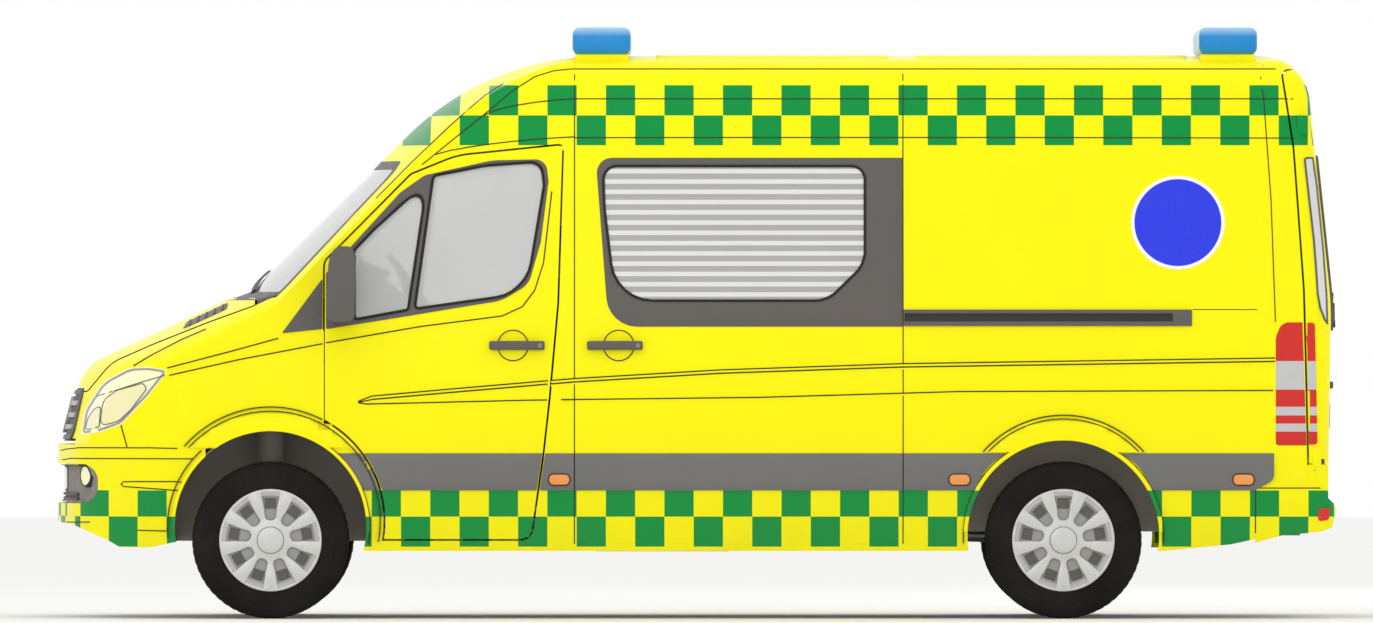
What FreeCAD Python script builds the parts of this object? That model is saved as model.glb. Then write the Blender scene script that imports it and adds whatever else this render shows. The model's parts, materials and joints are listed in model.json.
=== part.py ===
import FreeCAD, Part
import math
import os

import Sketcher

from FreeCAD import Vector

# A long high-roof ambulance van.  Millimetres, +Z up, the nose towards -X,
# the left side at -Y, the origin on the ground at the middle of the length.

# ---------------------------------------------------------------- sizes
# alias, value
SIZES = (
    # the whole vehicle
    ("wheelbase", 3665), ("front_overhang", 1003), ("rear_overhang", 1260),
    ("body_width", 1993), ("roof_height", 2604), ("sill_height", 312),
    # body walls and seams
    ("wall", 60), ("wing_wall", 35), ("door_outer", 20), ("bumper_wall", 50),
    ("door_gap", 9), ("hood_gap", 6), ("hood_rear_gap", 12), ("seam", 0.5), ("seat_gap", 0.3),
    ("glass_thick", 6), ("glass_inset", 2), ("door_step", 20),
    # panel lines, behind the front axle or the rear axle, and heights
    ("door_front", 247), ("slider_front", 1405), ("slider_rear", 741),
    ("gutter_height", 2223), ("header_height", 2105), ("slider_bottom", 345),
    ("door_bottom", 363), ("rear_door_bottom", 712), ("rear_door_top", 2537),
    ("bumper_top", 786),
    # wheels and running gear
    ("tyre_radius", 362), ("tyre_width", 236), ("rim_radius", 237),
    ("rim_barrel", 215), ("rim_wall", 12), ("hub_radius", 62), ("tyre_inset", 23.5),
    ("arch_gap", 81), ("arch_rise", 61), ("rear_arch_rise", 18),
    ("flare_width", 84), ("flare_rise", 28),
    ("kingpin_inset", 115), ("axle_radius", 55), ("stub_radius", 30),
    ("rail_width", 80), ("rail_height", 110), ("rail_bottom", 520),
    ("spring_leaf", 26), ("spring_width", 60),
    # large masses under the body
    ("engine_length", 700), ("engine_width", 520), ("engine_height", 620),
    ("tank_length", 950), ("tank_width", 420), ("tank_height", 200),
    # fittings
    ("bar_length", 271), ("bar_height", 131), ("bar_width", 1480),
    ("mirror_length", 144), ("mirror_height", 354), ("mirror_width", 190),
    ("steering_radius", 185), ("steering_grip", 16),
    ("floor_height", 660), ("cab_floor_height", 670), ("seat_width", 500),
)

doc = FreeCAD.newDocument("ambulance")
sheet = doc.addObject("Spreadsheet::Sheet", "sizes")
for line, (alias, value) in enumerate(SIZES, 1):
    sheet.set("A%d" % line, alias)
    sheet.set("B%d" % line, str(value))
    sheet.setAlias("B%d" % line, alias)
doc.recompute()


def size(alias):
    """The number that the sheet holds under this alias."""
    return float(sheet.get(alias))


LENGTH = size("front_overhang") + size("wheelbase") + size("rear_overhang")
FRONT_AXLE = -LENGTH / 2 + size("front_overhang")
REAR_AXLE = FRONT_AXLE + size("wheelbase")
NOSE = FRONT_AXLE - size("front_overhang")
HALF = size("body_width") / 2
ROOF = size("roof_height")
WALL = size("wall")
SEAM = size("seam")
SEAT = size("seat_gap")
DOOR_GAP = size("door_gap") / 2
HOOD_GAP = size("hood_gap") / 2
TYRE = size("tyre_radius")
WHEEL_Y = HALF - size("tyre_inset") - size("tyre_width") / 2
KINGPIN_Y = WHEEL_Y - size("kingpin_inset")
ARCH_RADIUS = TYRE + size("arch_gap")
ARCH_HEIGHT = TYRE + size("arch_rise")
REAR_ARCH_HEIGHT = TYRE + size("rear_arch_rise")
FLARE_HEIGHT = ARCH_HEIGHT + size("flare_rise")
FLARE_RADIUS = ARCH_RADIUS + size("flare_width")
REACH = 0.6 * LENGTH
FAR = 9000.0
WIDE = 1300.0


def front(distance):
    """X at this distance behind the front axle."""
    return FRONT_AXLE + distance


def rear(distance):
    """X at this distance behind the rear axle."""
    return REAR_AXLE + distance


# ---------------------------------------------------------------- outlines
# An outline is a list of corners (a, b, radius), in order anticlockwise.

def in_side(a, b):
    return Vector(a, 0, b)


def in_front(a, b):
    return Vector(0, a, b)


def in_plan(a, b):
    return Vector(a, b, 0)


def corner_arc(before, corner, after, radius):
    """Start, middle and end of the arc that rounds a corner."""
    back = (before - corner).normalize()
    ahead = (after - corner).normalize()
    half_angle = back.getAngle(ahead) / 2
    reach = radius / math.tan(half_angle)
    middle = (back + ahead).normalize()
    centre = corner + middle * (radius / math.sin(half_angle))
    return corner + back * reach, centre - middle * radius, corner + ahead * reach


def outline_wire(corners, place, closed=True):
    """A wire of lines and tangent arcs through rounded corners."""
    flat = [Vector(a, b, 0) for a, b, radius in corners]
    count = len(flat)
    arcs = []
    for index, (a, b, radius) in enumerate(corners):
        end = not closed and index in (0, count - 1)
        if radius == 0 or end:
            arcs.append((flat[index], None, flat[index]))
        else:
            after = flat[(index + 1) % count]
            arcs.append(corner_arc(flat[index - 1], flat[index], after, radius))
    edges = []
    for index, (start, middle, finish) in enumerate(arcs):
        if middle is not None:
            points = [place(point.x, point.y) for point in (start, middle, finish)]
            edges.append(Part.Arc(*points).toShape())
        if index == count - 1 and not closed:
            break
        following = arcs[(index + 1) % count][0]
        if finish.distanceToPoint(following) > 1e-6:
            ends = [place(point.x, point.y) for point in (finish, following)]
            edges.append(Part.LineSegment(*ends).toShape())
    return Part.Wire(edges)


def moved_lines(corners, depth, closed=True):
    """The outline with every side moved to its left by depth."""
    flat = [Vector(a, b, 0) for a, b, radius in corners]
    count = len(flat)
    result = []
    for index, (a, b, radius) in enumerate(corners):
        first = index == 0 and not closed
        last = index == count - 1 and not closed
        into = (flat[index] - flat[index - 1]).normalize()
        out = (flat[(index + 1) % count] - flat[index]).normalize()
        if first:
            into = out
        if last:
            out = into
        one = flat[index] + Vector(-into.y, into.x, 0) * depth
        two = flat[index] + Vector(-out.y, out.x, 0) * depth
        turn = into.x * out.y - into.y * out.x
        if abs(turn) < 1e-9:
            spot = one
        else:
            along = ((two.x - one.x) * out.y - (two.y - one.y) * out.x) / turn
            spot = one + into * along
        if radius and turn > 0:
            radius = max(radius - depth, 1)
        elif radius:
            radius = radius + depth
        result.append((spot.x, spot.y, radius))
    return result


def side_block(corners, low=-WIDE, high=WIDE):
    """A prism on an outline seen from the side (x, z), from y low to high."""
    face = Part.Face(outline_wire(corners, in_side))
    face.translate(Vector(0, low, 0))
    return face.extrude(Vector(0, high - low, 0))


def front_block(corners, low, high):
    """A prism on an outline seen from the end (y, z), from x low to high."""
    face = Part.Face(outline_wire(corners, in_front))
    face.translate(Vector(low, 0, 0))
    return face.extrude(Vector(high - low, 0, 0))


def plan_block(corners, low, high):
    """A prism on an outline seen from above (x, y), from z low to high."""
    face = Part.Face(outline_wire(corners, in_plan))
    face.translate(Vector(0, 0, low))
    return face.extrude(Vector(0, 0, high - low))


def box(x_low, x_high, y_low, y_high, z_low, z_high):
    corner = Vector(x_low, y_low, z_low)
    return Part.makeBox(x_high - x_low, y_high - y_low, z_high - z_low, corner)


def drum(x, z, radius, low=-WIDE, high=WIDE):
    """A cylinder across the vehicle."""
    return Part.makeCylinder(radius, high - low, Vector(x, low, z), Vector(0, 1, 0))


def post(x, y, radius, low, high):
    """An upright cylinder."""
    return Part.makeCylinder(radius, high - low, Vector(x, y, low))


def rod(start, finish, radius):
    """A cylinder from point to point."""
    run = finish - start
    return Part.makeCylinder(radius, run.Length, start, run)


def mirrored(shape):
    """The same shape on the other side of the vehicle."""
    return shape.mirror(Vector(0, 0, 0), Vector(0, 1, 0))


# ---------------------------------------------------------------- the skin
# The skin is what five surfaces enclose together: the cross-section, the
# plan of the nose, the profile of the tail, the hood and the windscreen.

SCREEN_SLOPE = 0.992
SCREEN_RADIUS = 1276.0
SCREEN_PLAN = 2500.0
HOOD_PLAN = 2200.0
HOOD_PLAN_HALF = 760.0
HOOD_CORNER = 420.0
SKIN_BASE = 250.0
CROWN_EDGE = 24.0
CLEAR_OF_CROWN = 3.0


def cross_section(depth):
    """The body's section across: upright sides that lean in, a crowned roof."""
    right = [
        (HALF - 66.5, SKIN_BASE, 0),
        (HALF + 30.5, 860, 3600),
        (HALF - 158.5, ROOF - CROWN_EDGE, 170),
    ]
    left = [(-y, z, radius) for y, z, radius in reversed(right)]
    corners = moved_lines(right + [(0, ROOF + 8, 5000)] + left, depth)
    base = SKIN_BASE - max(depth, 0)
    corners = [(y, base if z < SKIN_BASE + 200 else z, radius) for y, z, radius in corners]
    return front_block(corners, -REACH, REACH)


def nose_corners(tail):
    """The outline of the nose from above, closed by the corners of the tail."""
    right = [
        (NOSE + 105, HALF - 296, 500),
        (NOSE + 400, HALF - 21, 420),
        (NOSE + 900, HALF + 34, 0),
    ]
    left = [(x, -y, radius) for x, y, radius in right]
    return [(NOSE - 45, 0, 2000)] + left + tail + list(reversed(right))


def nose_plan(depth):
    """The plan of the nose, square behind it."""
    corners = nose_corners([(LENGTH, -HALF - 34, 0), (LENGTH, HALF + 34, 0)])
    return plan_block(moved_lines(corners, depth), 0, ROOF + 400)


def tail_profile(depth):
    """The profile of the tail, nearly upright, then leaning forward."""
    corners = [
        (-REACH, 100, 0),
        (rear(1216), 100, 0),
        (rear(1240), 1450, 1500),
        (rear(1122), ROOF + CLEAR_OF_CROWN, 230),
        (-REACH, ROOF + CLEAR_OF_CROWN, 0),
    ]
    return side_block(moved_lines(corners, depth))


def swept(path, section):
    """A closed section carried along a side-view path without turning."""
    shell = Part.BRepOffsetAPI.MakePipeShell(path)
    shell.setTrihedronMode(Vector(0, 0, 0), Vector(0, 0, 1))
    shell.add(section)
    shell.build()
    shell.makeSolid()
    return shell.shape()


def behind_arc(x, z, plan_radius, half, corner_radius):
    """A level wire: a plan arc in front, with rounder ends, and square behind."""
    drop = plan_radius - math.sqrt(plan_radius ** 2 - half ** 2)
    middle_arc = Part.Arc(Vector(x + drop, -half, z), Vector(x, 0, z), Vector(x + drop, half, z))
    edges = [middle_arc.toShape()]
    corner_x, corner_y = x + drop, half
    if corner_radius:
        start = math.asin(half / plan_radius)
        finish = math.radians(66)
        centre_x = x + drop + corner_radius * math.cos(start)
        centre_y = half - corner_radius * math.sin(start)
        spots = []
        for angle in (start, (start + finish) / 2, finish):
            across = centre_y + corner_radius * math.sin(angle)
            spots.append((centre_x - corner_radius * math.cos(angle), across))
        for turn in (1, -1):
            edges.append(Part.Arc(*[Vector(a, turn * b, z) for a, b in spots]).toShape())
        reach = WIDE - spots[2][1]
        corner_x = spots[2][0] + reach * math.tan(finish)
        corner_y = WIDE
        for turn in (1, -1):
            start_point = Vector(spots[2][0], turn * spots[2][1], z)
            edges.append(Part.LineSegment(start_point, Vector(corner_x, turn * corner_y, z)).toShape())
    back = x + FAR
    edges.append(Part.LineSegment(Vector(corner_x, corner_y, z), Vector(back, corner_y, z)).toShape())
    edges.append(Part.LineSegment(Vector(back, corner_y, z), Vector(back, -corner_y, z)).toShape())
    edges.append(Part.LineSegment(Vector(back, -corner_y, z), Vector(corner_x, -corner_y, z)).toShape())
    return Part.Wire(Part.__sortEdges__(edges))


def screen_solid(depth):
    """All that lies behind the windscreen and the curved front of the roof."""
    top = ROOF + CLEAR_OF_CROWN
    bottom = (front(-420), 1489 + SCREEN_SLOPE * (130 - 420))
    knee = (front(604) + (top - 2217) / SCREEN_SLOPE, top)
    line = [(bottom[0], bottom[1], 0), (knee[0], knee[1], SCREEN_RADIUS), (knee[0] + FAR, top, 0)]
    line = moved_lines(line, -depth, closed=False)
    spots = [Vector(a, b, 0) for a, b, radius in line]
    arc = corner_arc(spots[0], spots[1], spots[2], line[1][2])
    start, arc_start, middle, finish = [in_side(p.x, p.y) for p in (spots[0],) + arc]
    path = Part.Wire([
        Part.LineSegment(start, arc_start).toShape(),
        Part.Arc(arc_start, middle, finish).toShape(),
    ])
    section = behind_arc(start.x, start.z, SCREEN_PLAN - depth, WIDE, 0)
    return swept(path, section)


def hood_solid(depth):
    """All that lies behind the upper nose, under the hood and the cowl."""
    line = [
        (front(-1135), 180, 0),
        (front(-888), 1160, 220),
        (front(-196), 1484, 60),
        (front(900), 1502, 0),
    ]
    line = moved_lines(line, -depth, closed=False)
    path = outline_wire(line, in_side, closed=False)
    start = line[0]
    section = behind_arc(start[0], start[1], HOOD_PLAN, HOOD_PLAN_HALF, HOOD_CORNER)
    return swept(path, section)


skins = {}


def skin(depth):
    """What the body's surface encloses, moved inwards by depth."""
    if depth not in skins:
        middle = cross_section(depth).common(tail_profile(depth))
        if depth == 0:
            middle = middle.makeFillet(TAIL_CORNER, tail_corner_edges(middle))
        shape = screen_solid(depth).fuse(hood_solid(depth))
        shape = shape.common(middle).common(nose_plan(depth))
        skins[depth] = shape.Solids[0]
    return skins[depth]


TAIL_CORNER = 100.0


def tail_corner_edges(shape):
    """The upright edges at the two rear corners."""
    chosen = []
    for edge in shape.Edges:
        bounds = edge.BoundBox
        upright = bounds.ZLength > 80 and bounds.ZMax < ROOF - 100
        if upright and bounds.XMin > rear(900) and abs(edge.CenterOfMass.y) > HALF - 200:
            chosen.append(edge)
    return chosen


def shell(depth):
    """The wall between the surface and depth inside it."""
    key = "shell %g" % depth
    if key not in skins:
        skins[key] = skin(0).cut(skin(depth))
    return skins[key]


LEFT = box(-LENGTH, LENGTH, -WIDE, 0, 0, ROOF + 400)


# ---------------------------------------------------------------- panel lines
# Outlines seen from the side: x, z, radius of each corner.

def shifted(corners, place):
    """An outline given by distances behind an axle, put at its X."""
    return [(place(a), b, radius) for a, b, radius in corners]


FRONT_DOOR = shifted([
    (247, size("door_bottom"), 0), (1205, size("door_bottom"), 60),
    (1262, 760, 900), (1290, 1010, 500), (1330, 1455, 0), (1353, 2172, 0),
    (1339, 2191, 20), (862, 2142, 400), (648, 2055, 60), (318, 1721, 40),
    (247, 1650, 60),
], front)
QUARTER_GLASS = shifted([
    (391, 1384, 14), (634, 1429, 14), (721, 2017, 30), (479, 1796, 40), (382, 1695, 50),
], front)
DOOR_GLASS = shifted([
    (669, 1434, 14), (1051, 1488, 250), (1188, 1560, 90), (1262, 2000, 0),
    (1250, 2110, 70), (995, 2092, 300), (754, 2045, 24),
], front)
SLIDER_GLASS = shifted([
    (1586, 1560, 90), (1700, 1471, 90), (2573, 1471, 130), (2746, 1640, 130),
    (2746, 2090, 60), (1539, 2090, 60), (1545, 1900, 600),
], front)
HOOD_LINE = shifted([
    (-1050, 1157, 0), (-911, 1068, 0), (-864, 1038, 30), (-740, 1183, 200),
    (-544, 1269, 0), (-296, 1367, 0), (-69, 1449, 0), (100, 1510, 0),
    (100, 1900, 0), (-1050, 1900, 0),
], front)
# where the wing ends under the cowl and the windscreen pillar
COWL_BASE = 1449.0
COWL_TOP = 1484.0
WING_TOP = [(-1100, COWL_BASE, 0), (-75, COWL_BASE, 0), (38, 1310, 0), (size("door_front"), 1332, 0)]
HEADLIGHT = shifted([
    (-886, 846, 12), (-783, 863, 90), (-690, 896, 90), (-569, 1021, 120),
    (-470, 1148, 14), (-560, 1164, 60), (-650, 1162, 120), (-783, 1092, 140),
    (-868, 960, 90),
], front)
BUMPER_SIDE = shifted([
    (-1060, 803, 0), (-1060, 474, 0), (-984, 440, 0), (-924, 433, 30), (-749, 358, 40),
    (-698, 329, 20), (-552, 329, 20), (-450, 352, 0), (-300, 352, 0),
    (-300, size("bumper_top"), 0), (-663, size("bumper_top"), 0), (-800, 803, 0),
], front)
TAIL_LAMP = shifted([
    (981, 800, 14), (1123, 800, 0), (1105, 1369, 0), (1010, 1369, 50), (981, 1300, 90),
], rear)
REAR_DOOR = shifted([
    (1131, size("rear_door_bottom"), 0), (1400, size("rear_door_bottom"), 0),
    (1400, size("rear_door_top"), 0), (1010, size("rear_door_top"), 30),
    (1065, 2180, 0), (1083, 1934, 0), (1112, 1518, 0),
], rear)
REAR_BUMPER_SIDE = shifted([
    (888, 350, 0), (1011, 384, 0), (1186, 400, 20), (1244, 420, 20), (1262, 507, 20),
    (1250, 532, 10), (1224, 556, 10), (1224, size("rear_door_bottom"), 0),
    (1131, size("rear_door_bottom"), 0), (1131, 603, 0), (888, 603, 0),
], rear)
# Outlines seen from the front or the back: y, z, radius.
SCREEN_TOP = size("header_height") - SEAT
SCREEN_FRONT = [
    (-880, COWL_TOP, 40), (880, COWL_TOP, 40), (745, SCREEN_TOP, 90), (-745, SCREEN_TOP, 90),
]
GRILLE_FRONT = [(-470, 818, 60), (470, 818, 60), (430, 1062, 40), (-430, 1062, 40)]
REAR_GLASS = [(-790, 1349, 70), (-75, 1349, 60), (-75, 2120, 60), (-745, 2120, 90)]


def grown(corners, margin):
    """An outline with every side moved outwards."""
    return moved_lines(corners, -margin)


def kept(shape, *zones):
    for zone in zones:
        shape = shape.common(zone)
    return shape


def left_of(shape):
    return shape.common(LEFT)


pieces = {}


def add(label, *solids):
    """Make one named sub-part of the document from finished solids."""
    parts = []
    for solid in solids:
        parts.extend(solid.Solids)
    shape = parts[0] if len(parts) == 1 else Part.makeCompound(parts)
    feature = doc.addObject("Part::Feature", label)
    feature.Label = label
    feature.Shape = shape
    feature.Placement = FreeCAD.Placement()
    pieces[label] = feature
    return feature


# ---------------------------------------------------------------- body panels

def door_zone(corners, margin):
    return side_block(grown(corners, margin), -WIDE, 0)


FRONT_ARCH = drum(FRONT_AXLE, ARCH_HEIGHT, ARCH_RADIUS)
REAR_ARCH = drum(REAR_AXLE, REAR_ARCH_HEIGHT, ARCH_RADIUS)
FLARE_PANEL = drum(FRONT_AXLE, FLARE_HEIGHT, FLARE_RADIUS - DOOR_GAP)
FLARE_SEAM = drum(FRONT_AXLE, FLARE_HEIGHT, FLARE_RADIUS - DOOR_GAP + SEAM)
FLARE_DOOR = drum(FRONT_AXLE, FLARE_HEIGHT, FLARE_RADIUS + DOOR_GAP)
FLARE_SIDE = box(front(-447), front(0), -WIDE, WIDE, size("bumper_top"), 900)
BUMPER_FRONT = 888.0
TAIL_SILL = shifted([
    (470, 200, 0), (BUMPER_FRONT, 200, 0), (BUMPER_FRONT, 367, 0), (772, 342, 0),
    (470, size("sill_height"), 0),
], rear)


def roof_line(margin):
    """Everything above the gutter, the header and the windscreen's top."""
    header = size("header_height")
    gutter = size("gutter_height")
    return side_block([
        (front(400), header + margin, 0), (front(690), header + margin, 0),
        (front(941), 2186 + margin, 300), (front(1300), gutter + margin, 300),
        (rear(1400), gutter + margin, 0), (rear(1400), ROOF + 300, 0),
        (front(400), ROOF + 300, 0),
    ])


def without(shape, *tools):
    """The shape with each tool cut from it in turn."""
    for tool in tools:
        shape = shape.cut(tool)
    return shape


def largest(shape):
    """The main solid, without the slivers that a cut leaves."""
    return max(shape.Solids, key=lambda solid: solid.Volume)


def build_roof():
    wall = shell(WALL).common(roof_line(SEAM / 2))
    wall = wall.cut(side_block(grown(REAR_DOOR, DOOR_GAP)))
    edges = [-LENGTH, front(size("slider_front")), rear(-size("slider_rear")), LENGTH]
    sections = []
    for low, high in zip(edges, edges[1:]):
        zone = box(low + SEAM / 2, high - SEAM / 2, -WIDE, WIDE, 1500, ROOF + 200)
        sections.append(largest(wall.common(zone)))
    add("roof_panels", *sections)


SLIDER = [
    (front(size("slider_front")), size("slider_bottom"), 20),
    (rear(-size("slider_rear")), size("slider_bottom"), 20),
    (rear(-size("slider_rear")), size("gutter_height") - 20, 20),
    (front(size("slider_front")), size("gutter_height") - 20, 20),
]


def lamp_zone(margin):
    outside = skin(0).cut(skin(size("door_outer")))
    return outside.common(door_zone(TAIL_LAMP, margin))


def cowl_zone(margin):
    """Between the hood's rear edge and the windscreen."""
    half = 880 + margin
    return box(front(-260), front(120), -half, half, COWL_BASE - margin, COWL_TOP + margin)


def build_sides():
    gap = SEAM / 2
    wall = left_of(shell(WALL))
    screen = front_block(grown(SCREEN_FRONT, SEAT), -LENGTH, front(900))
    belt = size("door_front")
    ahead = side_block(shifted([
        (-1100, 200, 0), (belt, 200, 0), (belt + gap, 1332 + gap, 0), (38, 1310 + gap, 0),
        (-75 + gap, COWL_BASE + gap, 0), (-75, COWL_TOP + 16, 0), (-1100, COWL_TOP + 16, 0),
    ], front))
    wall = without(
        wall, roof_line(-gap), screen, ahead, FLARE_SEAM,
        door_zone(FRONT_DOOR, DOOR_GAP), door_zone(SLIDER, gap), door_zone(REAR_DOOR, DOOR_GAP),
        box(-LENGTH, LENGTH, -WIDE, 1, 0, size("sill_height")),
        side_block(grown(REAR_BUMPER_SIDE, gap)), REAR_ARCH, cowl_zone(gap),
        lamp_zone(SEAT), side_block(TAIL_SILL), HOOD_WELL, box(rear(BUMPER_FRONT), LENGTH, -WIDE, 1, 0, 400),
    )
    side = largest(wall)
    add("body_side_left", side)
    add("body_side_right", mirrored(side))


# the pins that the doors and the hood turn on
PIN = 5.0
BORE = PIN + SEAT
DOOR_AXIS_X = front(size("door_front")) + DOOR_GAP + 30
DOOR_AXIS_Y = -(HALF - 11.5)
TAIL_AXIS_X = rear(1127) + DOOR_GAP + 30
TAIL_AXIS_Y = -(HALF - 14.5)
HOOD_AXIS_X = front(-30)
HOOD_AXIS_Z = 1456.0
HOOD_WELL = box(HOOD_AXIS_X - 90, HOOD_AXIS_X + 40, -770, -680, 1380, COWL_BASE)


def build_doors():
    """Each door is one solid as thick as the wall, stepped in at its edges."""
    wall = left_of(shell(WALL))
    step = DOOR_GAP + size("door_step")
    core = skin(size("door_outer"))
    doors = {}
    pins = {
        "front_door": (DOOR_AXIS_X, DOOR_AXIS_Y, 872, 930),
        "rear_door": (TAIL_AXIS_X, TAIL_AXIS_Y, 690, 740),
    }
    rows = (
        # label, outline, cuts
        ("front_door", FRONT_DOOR, [QUARTER_GLASS, DOOR_GLASS]),
        ("sliding_door", SLIDER, [SLIDER_GLASS]),
        ("rear_door", REAR_DOOR, []),
    )
    for label, outline, panes in rows:
        margin = 0 if label == "sliding_door" else DOOR_GAP
        door = wall.common(door_zone(outline, -margin))
        if label != "sliding_door":
            edge = core.cut(door_zone(outline, -step))
            door = door.cut(edge)
        if label == "front_door":
            door = door.cut(FLARE_DOOR)
        if label == "rear_door":
            door = door.cut(box(0, LENGTH, -DOOR_GAP, 1, 0, ROOF))
            door = door.cut(front_block(REAR_GLASS, rear(900), LENGTH))
        for pane in panes:
            door = door.cut(side_block(pane, -WIDE, 0))
        door = largest(door)
        if label in pins:
            x, y, low, high = pins[label]
            door = door.fuse(post(x, y, PIN, low, high)).Solids[0]
        doors[label] = door
    add("front_door_left", doors["front_door"])
    add("front_door_right", mirrored(doors["front_door"]))
    add("sliding_doors", doors["sliding_door"], mirrored(doors["sliding_door"]))
    add("rear_door_left", doors["rear_door"])
    add("rear_door_right", mirrored(doors["rear_door"]))


def build_glass():
    inner = size("glass_inset") + size("glass_thick")
    sheet_layer = skin(size("glass_inset")).cut(skin(inner))
    left_layer = left_of(sheet_layer)
    panes = [left_layer.common(door_zone(pane, -SEAT)) for pane in (QUARTER_GLASS, DOOR_GLASS)]
    panes = [largest(pane) for pane in panes]
    add("front_door_glass_left", *panes)
    add("front_door_glass_right", *[mirrored(pane) for pane in panes])
    pane = largest(left_layer.common(door_zone(SLIDER_GLASS, -SEAT)))
    add("sliding_door_glass", pane, mirrored(pane))
    pane = left_layer.common(front_block(grown(REAR_GLASS, -SEAT), rear(900), LENGTH))
    pane = largest(pane)
    add("rear_door_glass_left", pane)
    add("rear_door_glass_right", mirrored(pane))
    layer = screen_solid(size("glass_inset")).cut(screen_solid(inner))
    layer = layer.common(cross_section(size("glass_inset")))
    add("windscreen", largest(layer.common(front_block(SCREEN_FRONT, -LENGTH, front(900)))))


def hood_edge(offset):
    """What lies ahead of the hood's rear edge, in plan: an arc with square ends."""
    x = front(-198 + offset)
    reach = 1000
    drop = HOOD_PLAN - math.sqrt(HOOD_PLAN ** 2 - reach ** 2)
    arc = Part.Arc(Vector(x + drop, -reach, 0), Vector(x, 0, 0), Vector(x + drop, reach, 0))
    corners = [
        Vector(x + drop, reach, 0), Vector(-LENGTH, reach, 0),
        Vector(-LENGTH, -reach, 0), Vector(x + drop, -reach, 0),
    ]
    lines = [Part.LineSegment(one, two).toShape() for one, two in zip(corners, corners[1:])]
    face = Part.Face(Part.Wire([arc.toShape()] + lines))
    ahead = face.extrude(Vector(0, 0, ROOF))
    return ahead.common(box(-LENGTH, front(HOOD_END + offset), -WIDE, WIDE, 0, ROOF))


HOOD_END = -72.0


def hood_hinge():
    """The left arm under the hood with its pin, and what takes the pin."""
    x, z = HOOD_AXIS_X, HOOD_AXIS_Z
    arm = box(x - 80, x + 6, -718, -700, z - 14, z + 3).fuse(drum(x, z, PIN, -740, -700))
    lug = box(x - 18, x + 20, -745, -727, z - 20, z + 14)
    slot = box(x - 60, x + 16, -724, -694, z - 46, z + 54)
    bore = drum(x, z, BORE, -760, -722)
    return arm, lug, slot, bore


def build_front():
    """Hood, cowl, wings, grille and headlights."""
    wall = shell(size("wing_wall"))
    gap = SEAM / 2
    arm, lug, slot, bore = hood_hinge()
    grille_end = front(-700)
    hood = wall.common(side_block(grown(HOOD_LINE, -HOOD_GAP))).common(hood_edge(-HOOD_GAP))
    hood = without(
        hood, side_block(grown(HEADLIGHT, size("hood_gap"))),
        front_block(grown(GRILLE_FRONT, size("hood_gap")), -LENGTH, grille_end),
    )
    hood = largest(hood).fuse(arm).fuse(mirrored(arm))
    add("hood", largest(hood.removeSplitter()))
    cowl = wall.common(cowl_zone(-gap)).cut(hood_edge(size("hood_rear_gap") - HOOD_GAP))
    cowl = largest(cowl).fuse(lug).fuse(mirrored(lug))
    cowl = without(cowl, slot, mirrored(slot), bore, mirrored(bore))
    add("cowl", largest(cowl))
    low = size("bumper_top") + gap
    upper = side_block(shifted([(-1100, low, 0), (size("door_front"), low, 0)] + WING_TOP[::-1], front))
    lower = FLARE_PANEL.common(box(front(0), front(600), -WIDE, 0, size("sill_height"), 900))
    wing = without(
        left_of(wall).common(upper.fuse(lower)), side_block(grown(HOOD_LINE, HOOD_GAP)),
        side_block(grown(HEADLIGHT, SEAT)), FRONT_ARCH,
        front_block(grown(GRILLE_FRONT, SEAT), -LENGTH, grille_end),
        cowl_zone(gap), side_block(grown(BUMPER_SIDE, gap)), HOOD_WELL,
        box(-LENGTH, front(-500), -520, 520, 0, 830),
    )
    wing = largest(wing).cut(post(DOOR_AXIS_X, DOOR_AXIS_Y, BORE, 860, 940))
    wing = largest(wing)
    add("front_wings", wing, mirrored(wing))
    lens = skin(0).cut(skin(size("door_outer")))
    lamp = largest(lens.common(side_block(HEADLIGHT, -WIDE, 0)))
    front_lamps.extend([lamp, mirrored(lamp)])
    grille = wall.common(front_block(GRILLE_FRONT, -LENGTH, grille_end))
    add("grille", largest(grille))


front_lamps = []

def bumper_block(outline, plan, wall):
    """A bumper: its side profile cut from a plan outline, hollow behind."""
    outer = side_block(outline).common(plan_block(plan, 0, 1000)).common(cross_section(0))
    inner = plan_block(moved_lines(plan, wall), 0, 1000).common(cross_section(wall))
    return outer.cut(inner)


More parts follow.
